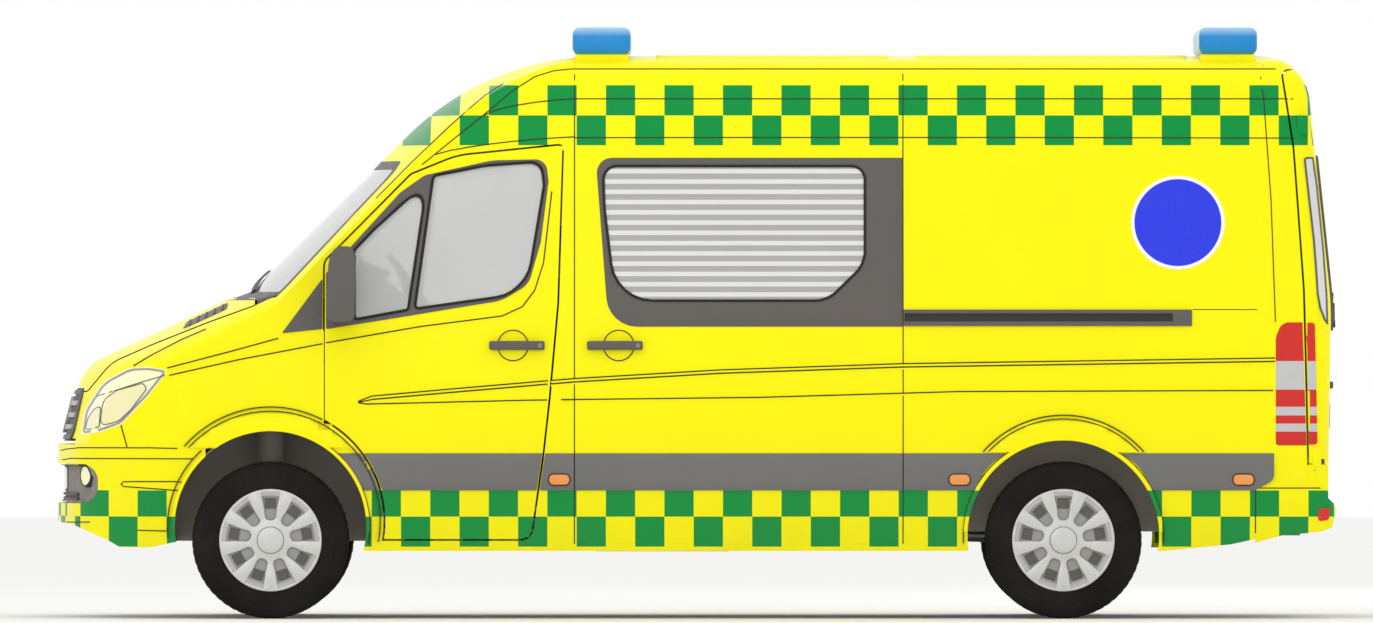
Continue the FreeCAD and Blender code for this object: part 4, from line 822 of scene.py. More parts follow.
# dark lines of painted shade along the creases of the arch flares; those on the wide part of the front flare
# lie higher
FLARE_CREASES = (1, 5)
ARCH_LINES = (
    arc(FRONT_AXLE, 451, 527, 139, 63), arc(FRONT_AXLE, 451, 508, 138, -11),
    arc(FRONT_AXLE, 423, 476, 132, 186), arc(FRONT_AXLE, 423, 460, 128, -10),
    arc(REAR_AXLE, 448, 492, 139, 41), arc(REAR_AXLE, 448, 475, 137, 43),
    arc(REAR_AXLE, 380, 463, 184, -4),
)


class VAN_OT_pressings(Builder):
    """Pressed lines along the sides, panel seams and roof ribs, with dark lines of painted shade along the
    creases, the roof lines and the arch flares
    """
    bl_idname = "van.pressings"
    bl_label = "Pressings and seams"

    def build(self):
        width = sizes().seam_width
        seams = [line(at_front(points), width, 0.0014, cell=0.06) for points in SIDE_SEAMS]
        # the roof lines are painted shade along creases, joined with the real seams
        seams += [line(at_front(points), width, 0.0018, cell=0.02) for points in ROOF_CREASE_SHADES]
        pair("side_seams", joined(*seams), "seam")
        for body in ("body", DOOR):
            name = body.replace("_left", "")
            creases = [at_front(points) for owner, points in SWAGES if owner == body]
            ridges = [line([(a, b - 0.006) for a, b in points], 0.010, 0.0025, cell=0.12)
                      for points in creases]
            pair("swages_" + name, joined(*ridges), "livery", body)
            # a dark line of painted shade along each crease, in the seam finish
            shades = [line(points, 1.2 * width, 0.0034, cell=0.05) for points in creases]
            pair("creases_" + name, joined(*shades), "seam", body)
        # the arch lines are painted shade along the edges of the flares and lips
        on_flare = sizes().flare_lift + 0.0015
        arches = [line(points, width, on_flare if index in FLARE_CREASES else 0.0075, cell=0.05)
                  for index, points in enumerate(ARCH_LINES)]
        pair("arch_creases", joined(*arches), "seam")
        spans = ((FRONT_AXLE + 1.78, FRONT_AXLE + 2.86), (FRONT_AXLE + 2.99, REAR_AXLE + 0.58))
        ribs = [plate("top", rect(low, y - 0.035, high, y + 0.035, 0.03), 0.005, cell=0.12, edge=0.004)
                for y in (-0.56, -0.28, 0.0, 0.28, 0.56) for low, high in spans]
        piece("roof_ribs", joined(*ribs), "livery")


# heights of a rub strip: its lower edge, its crease and its upper edge
STRIP_LOW, STRIP_CREASE, STRIP_HIGH = 592, 712, 764


def strip_profile(a, b):
    """A rub strip stands out most below its crease and thins out above it."""
    lift = sizes().strip_lift
    low, crease, high = (value * MM for value in (STRIP_LOW, STRIP_CREASE, STRIP_HIGH))
    if b > crease:
        return lift * (1 - 0.75 * (b - crease) / (high - crease))
    return lift * (0.55 + 0.45 * min((b - low) / 0.03, 1))


class VAN_OT_rub_strips(Builder):
    """Grey rub strips with their marker lamps, and the rail of the sliding door"""
    bl_idname = "van.rub_strips"
    bl_label = "Rub strips and rails"

    def build(self):
        low, crease, high = STRIP_LOW, STRIP_CREASE, STRIP_HIGH
        strips = (
            # name, body, outline
            ("flare", "body", front((428, low, 4), (502, low, 4), (456, crease, 300), (415, high, 4),
                                    (310, high, 4), (358, crease, 300))),
            ("door", DOOR, front((517, low, 4), (1230, low, 2), (1248, crease, 0), (1256, high, 2),
                                 (430, high, 4), (470, crease, 300))),
            ("pillar", "body", front((1245, low, 2), (1402, low, 2), (1402, high, 2), (1270, high, 2),
                                     (1262, crease, 0))),
            ("slider", "body", front(*rect(1408, low, 2921, high, 2))),
            ("quarter", "body", front((2927, low, 2), (3255, low, 4), (3314, crease, 300), (3411, high, 4),
                                      (2927, high, 2))),
            ("tail", "body", rear((412, low, 4), (885, low, 20), (973, 640, 40), (973, high, 4),
                                  (256, high, 4), (350, crease, 300))),
        )
        for name, body, outline in strips:
            lay(pair, "rub_strip_" + name, "strip", "left", outline, strip_profile, 0.003, body=body,
                cell=0.03, edge=0.0025)
        stand = sizes().strip_lift
        lamps = (("front", FRONT_AXLE + 1.335), ("middle", REAR_AXLE - 0.480), ("rear", REAR_AXLE + 0.832))
        for name, x in lamps:
            base = rect(x - 0.052, 0.613, x + 0.052, 0.671, 0.026)
            lay(pair, "marker_bezel_" + name, "black", "left", base, stand + 0.003, 0.0, cell=0.03)
            lay(pair, "marker_lamp_" + name, "orange", "left", grown(base, -0.006), stand + 0.011, 0.0,
                cell=0.03, edge=0.006)
        x_low, x_high = FRONT_AXLE + 2.927, FRONT_AXLE + 4.259
        slot = rect(x_low + 0.004, 1.373, x_high - 0.088, 1.410, 0.004)
        lay(pair, "slider_rail", "trim", "left", rect(x_low, 1.352, x_high, 1.428, 0.004), 0.009,
            holes=(slot,), edge=0.002)
        lay(pair, "slider_rail_slot", "black", "left", slot, 0.002, 0.001, edge=0)
        top = [(x_high + 0.004, 1.428), (REAR_AXLE + 0.6, 1.428), (FRONT_AXLE + 4.561, 1.428)]
        pair("rail_seam", line(top, 0.004, 0.0006), "seam")


def flare_lift(centre_z, outer, fold):
    """The flare rises from its outer line to a flat lip at the arch."""
    def lift(a, b):
        axle = FRONT_AXLE if a < 0 else REAR_AXLE
        gap = outer - math.hypot(a - axle, b - centre_z)
        return 0.0015 + sizes().flare_lift * max(0.0, min(gap / fold, 1.0))
    return lift


class VAN_OT_flares(Builder):
    """Raised lips round the four wheel arches"""
    bl_idname = "van.flares"
    bl_label = "Arch flares"

    def build(self):
        down, back = Vector((0, 0, -1)), Vector((1, 0, 0))
        flares = (
            # name, axle, arch centre, flare centre, flare radius, lowest point
            ("front_upper", FRONT_AXLE, 0.423, 0.451, 0.520, 0.790),
            ("rear_upper", REAR_AXLE, 0.380, 0.448, 0.492, 0.768),
        )
        for name, axle, arch, centre, outer, lowest in flares:
            keep = ((Vector((0, 0, lowest)), down), (Vector((axle + 0.60, 0, 0)), back))
            lay(pair, "flare_" + name, "livery", "left", Circle(axle, centre, outer),
                flare_lift(centre, outer, 0.017), 0.012, holes=(Circle(axle, arch, 0.446),),
                cell=0.05, edge=0.003, keep=keep)
        lips = (("front", FRONT_AXLE, 0.423, 0.459), ("rear", REAR_AXLE, 0.380, 0.462))
        for name, axle, arch, outer in lips:
            lay(pair, "arch_lip_" + name, "livery", "left", Circle(axle, arch, outer),
                sizes().flare_lift + 0.006, 0.014, holes=(Circle(axle, arch, 0.4445),), cell=0.05,
                edge=0.003, keep=((Vector((0, 0, 0.40)), down),))


class VAN_OT_handles(Builder):
    """Door handles with their finger bowls and locks"""
    bl_idname = "van.handles"
    bl_label = "Door handles"

    def build(self):
        tree = tree_of(SKIN_NODES)
        z = 1.262
        places = (
            # name, body, bar from and to, middle of the bowl
            ("front_door", DOOR, 1011, 1268, 1121),
            ("slider", "body", 1463, 1721, 1610),
        )
        for name, body, *spans in places:
            x_low, x_high, x_mid = (FRONT_AXLE + value * MM for value in spans)
            lay(pair, name + "_handle_bowl", "livery", "left", Circle(x_mid, z, 0.068), 0.0032, body=body,
                holes=(Circle(x_mid, z, 0.062),), cell=0.03)
            # a dark ring of painted shade round the rim of the finger bowl
            lay(pair, name + "_bowl_edge", "seam", "left", Circle(x_mid, z, 0.073), 0.0036, body=body,
                holes=(Circle(x_mid, z, 0.0675),), cell=0.03, edge=0)
            y = depth_at(tree, "left", x_mid, z) - START
            grip = block((x_low, y - 0.034, z - 0.021), (x_high, y - 0.014, z + 0.021), 0.0095, 4)
            feet = [block((x, y - 0.024, z - 0.015), (x + 0.034, y + 0.003, z + 0.015), 0.004)
                    for x in (x_low + 0.004, x_high - 0.040)]
            pair(name + "_handle", joined(grip, *feet), "trim", body)
            lock = turned([(0.0, -0.004), (0.011, -0.004), (0.011, 0.006), (0.0, 0.006)],
                          (x_high - 0.022, y - 0.036, z), 24, closed=False)
            pair(name + "_lock", lock, "steel", body)


class VAN_OT_emblem(Builder):
    """A plain round blue sign with a white rim on each rear quarter"""
    bl_idname = "van.emblem"
    bl_label = "Round sign"

    def build(self):
        x, z, radius = FRONT_AXLE + 4.195, 1.830, 0.205
        lay(pair, "sign_disc", "emblem", "left", Circle(x, z, radius), 0.0012, 0.0008, edge=0)
        lay(pair, "sign_rim", "white", "left", Circle(x, z, radius + 0.012), 0.0018, 0.0008,
            holes=(Circle(x, z, radius - 0.004),), edge=0.0006)


class VAN_OT_nose(Builder):
    """Lamps, grille, bumper openings and hood vents"""
    bl_idname = "van.nose"
    bl_label = "Nose"

    def build(self):
        self.headlights()
        self.grille()
        self.bumper()
        self.vents()

    def headlights(self):
        lamp = front((-878, 852, 14), (-783, 869, 90), (-694, 901, 90), (-574, 1025, 120), (-478, 1145, 14),
                     (-560, 1158, 60), (-650, 1156, 120), (-778, 1088, 140), (-862, 960, 90))
        common = {"slot": "lamp_lens", "nodes": NOSE_NODES}
        lay(pair, "headlight_bezel", "grey_bar", "left", lamp, 0.002, 0.001, holes=(grown(lamp, -0.010),),
            cell=0.04, **common)
        bowls = (
            # name, outline of a reflector behind the lens
            ("main", front((-790, 890, 20), (-703, 914, 60), (-648, 965, 60), (-572, 1064, 16),
                           (-592, 1086, 12), (-716, 1052, 60), (-778, 1006, 60))),
            ("side", front((-864, 870, 10), (-797, 886, 8), (-790, 982, 10), (-822, 966, 30),
                           (-850, 925, 40))),
        )
        # the bowls are painted shade: a darker cream laid on the lens stands for the shade in each recessed
        # reflector
        for name, outline in bowls:
            lay(pair, "headlight_bowl_" + name, "cream_dark", "left", outline, 0.0035, 0.001, cell=0.03,
                edge=0.003, **common)
            lay(pair, "headlight_edge_" + name, "trim", "left", grown(outline, 0.003), 0.0042, 0.001,
                holes=(grown(outline, -0.001),), cell=0.03, edge=0, **common)
        fold = ribbon(at_front([(-812, 1026), (-700, 1060), (-600, 1092), (-488, 1124)]), 0.004)
        lay(pair, "headlight_fold", "trim", "left", fold, 0.003, 0.001, cell=0.04, edge=0, **common)

    def grille(self):
        outline = across((-462, 826, 56), (462, 826, 56), (422, 1054, 38), (-422, 1054, 38))
        lay(piece, "grille_frame", "trim", "nose", outline, 0.010, holes=(grown(outline, -0.020),),
            cell=0.025, edge=0.004, nodes=NOSE_NODES)
        for number, z in enumerate((0.884, 0.939, 0.994)):
            half = 0.415 - (z - 0.83) * 0.16
            lay(piece, "grille_slat_%d" % (number + 1), "grey_bar", "nose",
                rect(-half, z - 0.011, half, z + 0.011, 0.004), 0.013, 0.001, cell=0.05, edge=0.005,
                nodes=NOSE_NODES)
        lay(piece, "grille_boss", "grey_bar", "nose", Circle(0, 0.940, 0.085), 0.019, 0.001, cell=0.05,
            edge=0.007, nodes=NOSE_NODES)

    def bumper(self):
        x, z = -0.670, 0.658
        common = {"edge": 0.003, "nodes": BUMPER_AND_LAMPS}
        lay(piece, "bumper_mouth", "liner", "nose", across(*rect(-790, 537, 790, 705, 70)), 0.004, 0.001,
            holes=(Circle(x, z, 0.051), Circle(-x, z, 0.051)), cell=0.02, nodes=BUMPER_AND_LAMPS)
        for number, height in enumerate((0.552, 0.572)):
            lay(piece, "mouth_slat_%d" % (number + 1), "black", "nose",
                rect(-0.56, height - 0.006, 0.56, height + 0.006, 0.003), 0.014, 0.001, edge=0.003,
                nodes=("front_bumper",))
        lay(pair, "fog_lamp_ring", "black", "nose", Circle(x, z, 0.054), 0.012, 0.0,
            holes=(Circle(x, z, 0.044),), cell=0.04, **common)
        lay(pair, "fog_lamp_lens", "cream", "nose", Circle(x, z, 0.0435), 0.008, 0.001, cell=0.03, **common)
        lay(piece, "front_plate_holder", "black", "nose", across(*rect(-264, 588, 264, 702, 8)), 0.008, 0.001,
            nodes=("front_bumper",))
        lay(piece, "front_plate", "plate", "nose", across(*rect(-257, 594, 257, 696, 6)), 0.011, 0.001,
            nodes=("front_bumper",))
        # dark lines of painted shade along the creases of the bumper
        creases = (
            ((-693, 621), (-680, 632), (-560, 633), (-437, 633), (-395, 628)),
            ((-693, 621), (-683, 610), (-540, 600), (-401, 589)),
            ((-1000, 768), (-960, 780), (-891, 788), (-560, 789), (-430, 786)),
            ((-1000, 727), (-930, 738), (-640, 739), (-355, 738)),
            ((-955, 442), (-840, 444)), ((-615, 408), (-480, 404)),
        )
        lines = [line(at_front(points), sizes().seam_width, 0.0026, cell=0.012) for points in creases]
        pair("bumper_lines", joined(*lines), "seam")

    def vents(self):
        x = FRONT_AXLE
        vent = [(x - 0.412, -0.66, 0.03), (x - 0.205, -0.68, 0.03), (x - 0.205, -0.43, 0.03),
                (x - 0.395, -0.43, 0.03)]
        lay(pair, "hood_vent", "trim", "top", vent, 0.002, 0.001, body="hood_lid", cell=0.05, nodes=("hood",))
        bars = []
        for step in range(5):
            low = x - 0.385 + step * 0.038
            bars.append(plate("top", rect(low, -0.650, low + 0.010, -0.450, 0.002), 0.006, 0.001,
                              edge=0.002, nodes=("hood",)))
        pair("hood_vent_bars", joined(*bars), "black", "hood_lid")


def rear_spot(distance, height):
    """X on the side of the rear door, which leans forward as it rises."""
    return REAR_AXLE + (distance - 0.045 * (height - 0.9) * 1000) * MM


class VAN_OT_tail(Builder):
    """Lamps, wipers, hinges, handle and plate of the rear doors"""
    bl_idname = "van.tail"
    bl_label = "Tail"

    def build(self):
        lamp = rear((1134, 803, 4), (1174, 806, 14), (1162, 1366, 14), (1116, 1366, 4))
        lay(pair, "tail_lamp_edge", "tail", "left", lamp, 0.006, body=REAR_DOOR, cell=0.012, edge=0.002,
            nodes=REAR_DOORS)
        tree = tree_of(REAR_DOORS)
        x = START - depth_at(tree, "tail", -0.30, 1.20)
        handle = [block((x + 0.010, -0.235, 1.060), (x + 0.030, -0.075, 1.094), 0.008)]
        handle += [block((x - 0.004, y, 1.066), (x + 0.012, y + 0.025, 1.088), 0.003)
                   for y in (-0.225, -0.110)]
        piece("rear_handle", joined(*handle), "trim", REAR_DOOR)
        common = {"body": REAR_DOOR, "nodes": REAR_DOORS}
        lay(piece, "rear_handle_bowl", "livery", "tail", Circle(-0.155, 1.077, 0.072), 0.003, 0.001,
            holes=(Circle(-0.155, 1.077, 0.064),), cell=0.03, **common)
        lay(piece, "rear_plate_holder", "black", "tail", across(*rect(-694, 876, -166, 994, 8)), 0.006, 0.001,
            cell=0.09, **common)
        lay(piece, "rear_plate", "plate", "tail", across(*rect(-687, 882, -173, 988, 6)), 0.009, 0.001,
            cell=0.09, **common)
        lines = [line([(-0.94, z), (-0.02, z)], 0.004, 0.0008, view="tail", cell=0.06)
                 for z in (0.800, 1.204, 1.322)]
        pair("rear_door_lines", joined(*lines), "seam", REAR_DOOR)
        hinges = []
        pin_x = REAR_AXLE + 1.1615
        for z in (0.748, 1.412, 2.28):
            x = rear_spot(1155, z)
            y = depth_at(tree, "left", x, z) - START
            hinges.append(block((x - 0.012, y - 0.008, z - 0.045),
                                (min(x + 0.044, pin_x + 0.030), y + 0.004, z + 0.045), 0.004))
        pair("rear_hinge_leaves", joined(*hinges), "livery", REAR_DOOR)
        panes = tree_of(REAR_DOORS + ("rear_door_glass_left",))
        # pivot and tip of the arm, then both ends of the blade: across, height, distance off the glass
        points = ((-0.300, 1.362, 0.026), (-0.560, 1.452, 0.020),
                  (-0.330, 1.395, 0.016), (-0.700, 1.500, 0.016))
        spots = [Vector((START - depth_at(panes, "tail", a, b) + stand, a, b)) for a, b, stand in points]
        parts = [bar(spots[0] - Vector((0.030, 0, 0)), spots[0] + Vector((0.010, 0, 0)), 0.018, 24),
                 bar(spots[0], spots[1], 0.009, 12), bar(spots[2], spots[3], 0.007, 12)]
        pair("rear_wiper", joined(*parts), "black", REAR_DOOR)
        reflector = rear((1176, 448, 14), (1226, 456, 14), (1234, 512, 10), (1180, 508, 10))
        lay(pair, "rear_reflector", "red", "left", reflector, 0.005, 0.001, cell=0.03, edge=0.003,
            nodes=("rear_bumper",))


class VAN_OT_light_bars(Builder):
    """Full-width blue light bars on painted feet"""
    bl_idname = "van.light_bars"
    bl_label = "Light bars"

    def build(self):
        low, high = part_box("light_bars")
        half, depth, top = high.y, 0.271, high.z
        for x, end, name in ((low.x, low.x + depth, "front"), (high.x - depth, high.x, "rear")):
            base = block((x + 0.012, -half + 0.02, ROOF - 0.035),
                         (end - 0.012, half - 0.02, ROOF + 0.004), 0.004)
            lenses = [block((x, y, ROOF + 0.001), (end, y_end, top), 0.034, 5)
                      for y, y_end in ((-half, -0.27), (-0.262, 0.262), (0.27, half))]
            bands = [block((x + 0.010, y - 0.006, ROOF + 0.012), (end - 0.010, y + 0.006, top - 0.012), 0.003)
                     for y in (-0.266, 0.266)]
            for part, bm, finish in (("base", base, "livery"), ("lens", joined(*lenses), "beacon"),
                                     ("bands", joined(*bands), "black")):
                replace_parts(piece("light_bar_%s_%s" % (part, name), bm, finish), "light_bars")


WHEELS = (
    ("front_left", FRONT_AXLE, -1), ("front_right", FRONT_AXLE, 1),
    ("rear_left", REAR_AXLE, -1), ("rear_right", REAR_AXLE, 1),
)
OPENINGS = 9
LUGS = 56
# half of the tyre's outline from the bead to the tread: radius, distance from the middle
TYRE_WALL = ((0.2165, 0.097), (0.2385, 0.0975), (0.2400, 0.1080), (0.2620, 0.1135), (0.2900, 0.1172),
             (0.2980, 0.1180), (0.3000, 0.1165), (0.3160, 0.1158), (0.3180, 0.1170), (0.3300, 0.1125),
             (0.3420, 0.1055), (0.3500, 0.0985), (0.3570, 0.0880), (0.3600, 0.0760), (0.3612, 0.0600))
GROOVES = ((0.0580, 0.0500), (0.0220, 0.0140))


def tyre():
    """A radial tyre with four grooves and shoulder lugs, round the left wheel's middle."""
    deep = TYRE - sizes().tread_depth
    right = list(TYRE_WALL)
    for outer, inner in GROOVES:
        right += [(TYRE, outer), (deep, outer - 0.001), (deep, inner + 0.001), (TYRE, inner)]
    ring = turned(right + [(radius, -along) for radius, along in reversed(right)], steps=96)
    lugs = []
    for side in (-1, 1):
        for index in range(LUGS):
            lug = bmesh.new()
            bmesh.ops.create_cube(lug, size=1)
            bmesh.ops.scale(lug, vec=(0.024, 0.030, 0.008), verts=lug.verts[:])
            slant = Matrix.Rotation(side * math.radians(20), 3, "X")
            bmesh.ops.rotate(lug, matrix=slant, verts=lug.verts[:])
            move(lug, (0, -side * 0.0840, TYRE - 0.0078))
            turn = Matrix.Rotation(2 * math.pi * (index + (side > 0) * 0.5) / LUGS, 3, "Y")
            bmesh.ops.rotate(lug, matrix=turn, verts=lug.verts[:])
            lugs.append(lug)
    return joined(ring, *lugs)


def on_spoke(corners, number):
    """Outline corners (distance out, aside, radius) turned to one opening of the wheel cover."""
    turn = math.pi / 2 + 2 * math.pi * number / OPENINGS
    cos, sin = math.cos(turn), math.sin(turn)
    return [(out * cos - aside * sin, out * sin + aside * cos, radius) for out, aside, radius in corners]


def wheel_parts():
    """Pieces of the left front wheel round its middle: name, bmesh, finish, slot."""
    face = -(TREAD / 2 - 0.003)
    # each opening is wide at the rim and round at the hub, with a window and a wedge behind it
    opening = [(0.092, -0.024, 0.022), (0.150, -0.030, 0.2), (0.223, -0.046, 0.004),
               (0.223, 0.046, 0.004), (0.150, 0.030, 0.2), (0.092, 0.024, 0.022)]
    window = [(0.146, -0.0255, 0.003), (0.197, -0.0265, 0.003),
              (0.197, 0.0265, 0.003), (0.146, 0.0255, 0.003)]
    wedge = [(0.199, -0.028, 0), (0.222, -0.044, 0), (0.222, 0.044, 0), (0.199, 0.028, 0)]
    cover = slab("left", Circle(0, 0, 0.236), face, face + 0.007, 0.0025, 2,
                 holes=[on_spoke(opening, number) for number in range(OPENINGS)])
    for vert in cover.verts:
        gap = math.hypot(vert.co.x, vert.co.z)
        vert.co.y += 0.006 * max(0.0, min((0.20 - gap) / 0.10, 1.0))
    dish = slab("left", Circle(0, 0, 0.233), face + 0.0185, face + 0.0215, 0)
    windows, wedges = [], []
    for number in range(OPENINGS):
        windows.append(slab("left", on_spoke(window, number), face + 0.0160, face + 0.0190, 0))
        made = slab("left", on_spoke(wedge, number), face + 0.0040, face + 0.0190, 0)
        for vert in made.verts:
            if vert.co.y < face + 0.010 and math.hypot(vert.co.x, vert.co.z) < 0.212:
                vert.co.y = face + 0.0165
        wedges.append(made)
    cap = turned([(0.0, face + 0.008), (0.060, face + 0.008), (0.060, face + 0.001), (0.055, face - 0.0015),
                  (0.030, face - 0.0025), (0.0, face - 0.003)], steps=48, closed=False)
    ring = turned([(0.0595, face + 0.006), (0.0630, face + 0.006), (0.0630, face + 0.0015),
                   (0.0595, face + 0.0015)], steps=48)
    disc = turned([(0.0360, -0.030), (0.0750, -0.030), (0.0750, -0.008), (0.1500, -0.008), (0.1500, 0.016),
                   (0.0850, 0.016), (0.0850, 0.000), (0.0360, 0.000)])
    return (("cover", cover, "rim", None), ("cover_dish", dish, "grey_bar", "rim"),
            ("cover_wedges", joined(*wedges), "rim", None), ("cover_windows", joined(*windows), "trim", None),
            ("cover_cap", cap, "rim", None), ("cover_cap_ring", ring, "trim", None),
            ("brake_disc", disc, "steel", None))


def caliper():
    """A brake caliper over the disc, round the left wheel's middle."""
    return joined(block((0.084, -0.030, -0.06), (0.168, -0.013, 0.06), 0.006),
                  block((0.084, 0.021, -0.06), (0.168, 0.048, 0.06), 0.006),
                  block((0.154, -0.026, -0.055), (0.172, 0.044, 0.055), 0.005))


class VAN_OT_wheels(Builder):
    """Tyres, wheel covers, brake discs and calipers"""
    bl_idname = "van.wheels"
    bl_label = "Wheels"

    def build(self):
        for name, x, side in WHEELS:
            holder = "body" if name.startswith("rear") else ("knuckle_l" if side < 0 else "knuckle_r")
            made = [("tyre", tyre(), "tyre", None), *wheel_parts(),
                    ("brake_caliper", caliper(), "cast", None)]
            for part, bm, finish, slot in made:
                if side > 0:
                    bm = other_side(bm)
                move(bm, (x, side * WHEEL_Y, TYRE))
                rider = holder if part == "brake_caliper" else "wheel_" + name
                item = piece(part + "_" + name, bm, finish, rider, slot)
                if part == "tyre":
                    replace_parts(item, "tyre_" + name)


class VAN_OT_mirrors(Builder):
    """Door mirrors with their arms and glass"""
    bl_idname = "van.mirrors"
    bl_label = "Mirrors"

    def build(self):
        x, y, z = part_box("mirror_left")[0]
        face = [(x + 0.002, z + 0.020, 0.03), (x + 0.040, z + 0.001, 0.03), (x + 0.132, z + 0.001, 0.04),
                (x + 0.141, z + 0.292, 0.16), (x + 0.119, z + 0.352, 0.03), (x + 0.046, z + 0.352, 0.04),
                (x + 0.014, z + 0.292, 0.13)]
        head = slab("left", face, y + 0.0005, y + 0.189, 0.018, 4)
        inner = depth_at(tree_of(SKIN_NODES), "left", x + 0.058, 1.438) - START
        arm = joined(block((x + 0.028, y + 0.16, 1.414), (x + 0.088, inner + 0.002, 1.462), 0.012, 4),
                     block((x + 0.020, inner - 0.014, 1.404), (x + 0.096, inner + 0.002, 1.472), 0.006, 3))
        glass = block((x + 0.1335, y + 0.018, z + 0.030), (x + 0.1425, y + 0.172, z + 0.318), 0.004, 3)
        rim = slab("tail", [(y + 0.012, z + 0.024, 0.02), (y + 0.178, z + 0.024, 0.02),
                            (y + 0.178, z + 0.324, 0.03), (y + 0.012, z + 0.324, 0.03)],
                   x + 0.126, x + 0.1405, 0.003)
        for part, bm, finish in (("head", head, "trim"), ("arm", arm, "trim"), ("rim", rim, "black"),
                                 ("glass", glass, "mirror")):
            left, right = pair("mirror_" + part, bm, finish, DOOR)
            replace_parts(left, "mirror_left")
            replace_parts(right, "mirror_right")


# ---------------------------------------------------------------- the cab

SEAT_SIDE = 0.480
PAD_VOXEL = 0.010
PAD_SWELL = 0.024       # furthest that a point of a pad moves
PAD_PRESSURE = 4
PAD_FRAMES = 20


def evaluated(pad):
    graph = bpy.context.evaluated_depsgraph_get()
    return bpy.data.meshes.new_from_object(pad.evaluated_get(graph))


def swell(bm):
    """Blow a pad up as sewn cloth."""
    mesh = bpy.data.meshes.new("pad_form")
    bm.to_mesh(mesh)
    bm.free()
    pad = bpy.data.objects.new("pad_form", mesh)
    scene = bpy.context.scene
    scene.collection.objects.link(pad)
    remesh = pad.modifiers.new("Remesh", "REMESH")
    remesh.mode = "VOXEL"
    remesh.voxel_size = PAD_VOXEL
    shaped = evaluated(pad)
    pad.modifiers.clear()
    pad.data = shaped
    result = bmesh.new()
    result.from_mesh(shaped)
    cloth = pad.modifiers.new("Cloth", "CLOTH")
    cloth.settings.use_pressure = True
    cloth.settings.uniform_pressure_force = PAD_PRESSURE
    cloth.settings.effector_weights.gravity = 0
    cloth.point_cache.frame_start = 1
    cloth.point_cache.frame_end = PAD_FRAMES
    for number in range(1, PAD_FRAMES + 1):
        scene.frame_set(number)
    puffed = evaluated(pad)
    result.verts.ensure_lookup_table()
    for vert, moved in zip(result.verts, puffed.vertices):
        step = moved.co - vert.co
        if step.length > PAD_SWELL:
            step *= PAD_SWELL / step.length
        vert.co += step
    pad.modifiers.clear()
    scene.frame_set(1)
    bpy.data.meshes.remove(puffed)
    bpy.data.objects.remove(pad)
    bpy.data.meshes.remove(shaped)
    bpy.data.meshes.remove(mesh)
    bmesh.ops.smooth_vert(result, verts=result.verts[:], factor=0.5,
                          use_axis_x=True, use_axis_y=True, use_axis_z=True)
    return result


def stitch(bm, axis, places, width=0.010, depth=0.009):
    """Press sewn channels into a pad across one axis."""
    bm.normal_update()
    moves = []
    for vert in bm.verts:
        pull = max(math.exp(-((vert.co[axis] - place) / width) ** 2) for place in places)
        moves.append((vert, vert.normal * -depth * pull))
    for vert, shift in moves:
        vert.co += shift


class VAN_OT_seats(Builder):
    """Two cloth seats, each with a cushion, a back and a headrest"""
    bl_idname = "van.seats"
    bl_label = "Seats"

    def build(self):
        x, y = FRONT_AXLE, -SEAT_SIDE
        pads = (
            # name, half the width, channels across from the middle, channels up, fullness, outline
            ("seat_cushion", 0.232, (-0.150, 0.150), (), 0.8,
             ((806, 918, 30), (1224, 918, 40), (1224, 1000, 50), (806, 1018, 50))),
            ("seat_back", 0.218, (-0.130, 0.130), (1.10, 1.24, 1.38, 1.52), 0.8,
             ((1250, 958, 14), (1292, 958, 14), (1352, 1556, 20), (1322, 1618, 26), (1274, 1586, 26))),
            ("head_rest", 0.116, (0,), (), 0.9,
             ((1308, 1676, 22), (1354, 1676, 22), (1354, 1824, 22), (1308, 1824, 22))),
        )
        for name, half, channels, rows, fill, outline in pads:
            bm = swell(slab("left", front(*outline), y - half, y + half, 0.014))
            stitch(bm, 1, [y + aside for aside in channels])
            if rows:
                stitch(bm, 2, rows, 0.009, 0.006)
            twin = other_side(bm)
            for side, made in (("left", bm), ("right", twin)):
                item = piece("%s_%s" % (name, side), made, "cloth", sharp=180)
                modifier = item.modifiers.new("Smooth", "SUBSURF")
                modifier.levels = modifier.render_levels = 1
                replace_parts(item, "seat_cushions")
        posts = [bar((x + 1.335, y + aside, 1.590), (x + 1.335, y + aside, 1.690), 0.007)
                 for aside in (-0.05, 0.05)]
        for item in pair("head_rest_posts", joined(*posts), "steel"):
            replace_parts(item, "seat_cushions")
        outline = front((1224, 905, 16), (1300, 905, 16), (1318, 1010, 30), (1255, 1010, 30))
        covers = [slab("left", outline, low, low + 0.022, 0.005) for low in (y - 0.262, y + 0.240)]
        pair("recliner_covers", joined(*covers), "cabin")


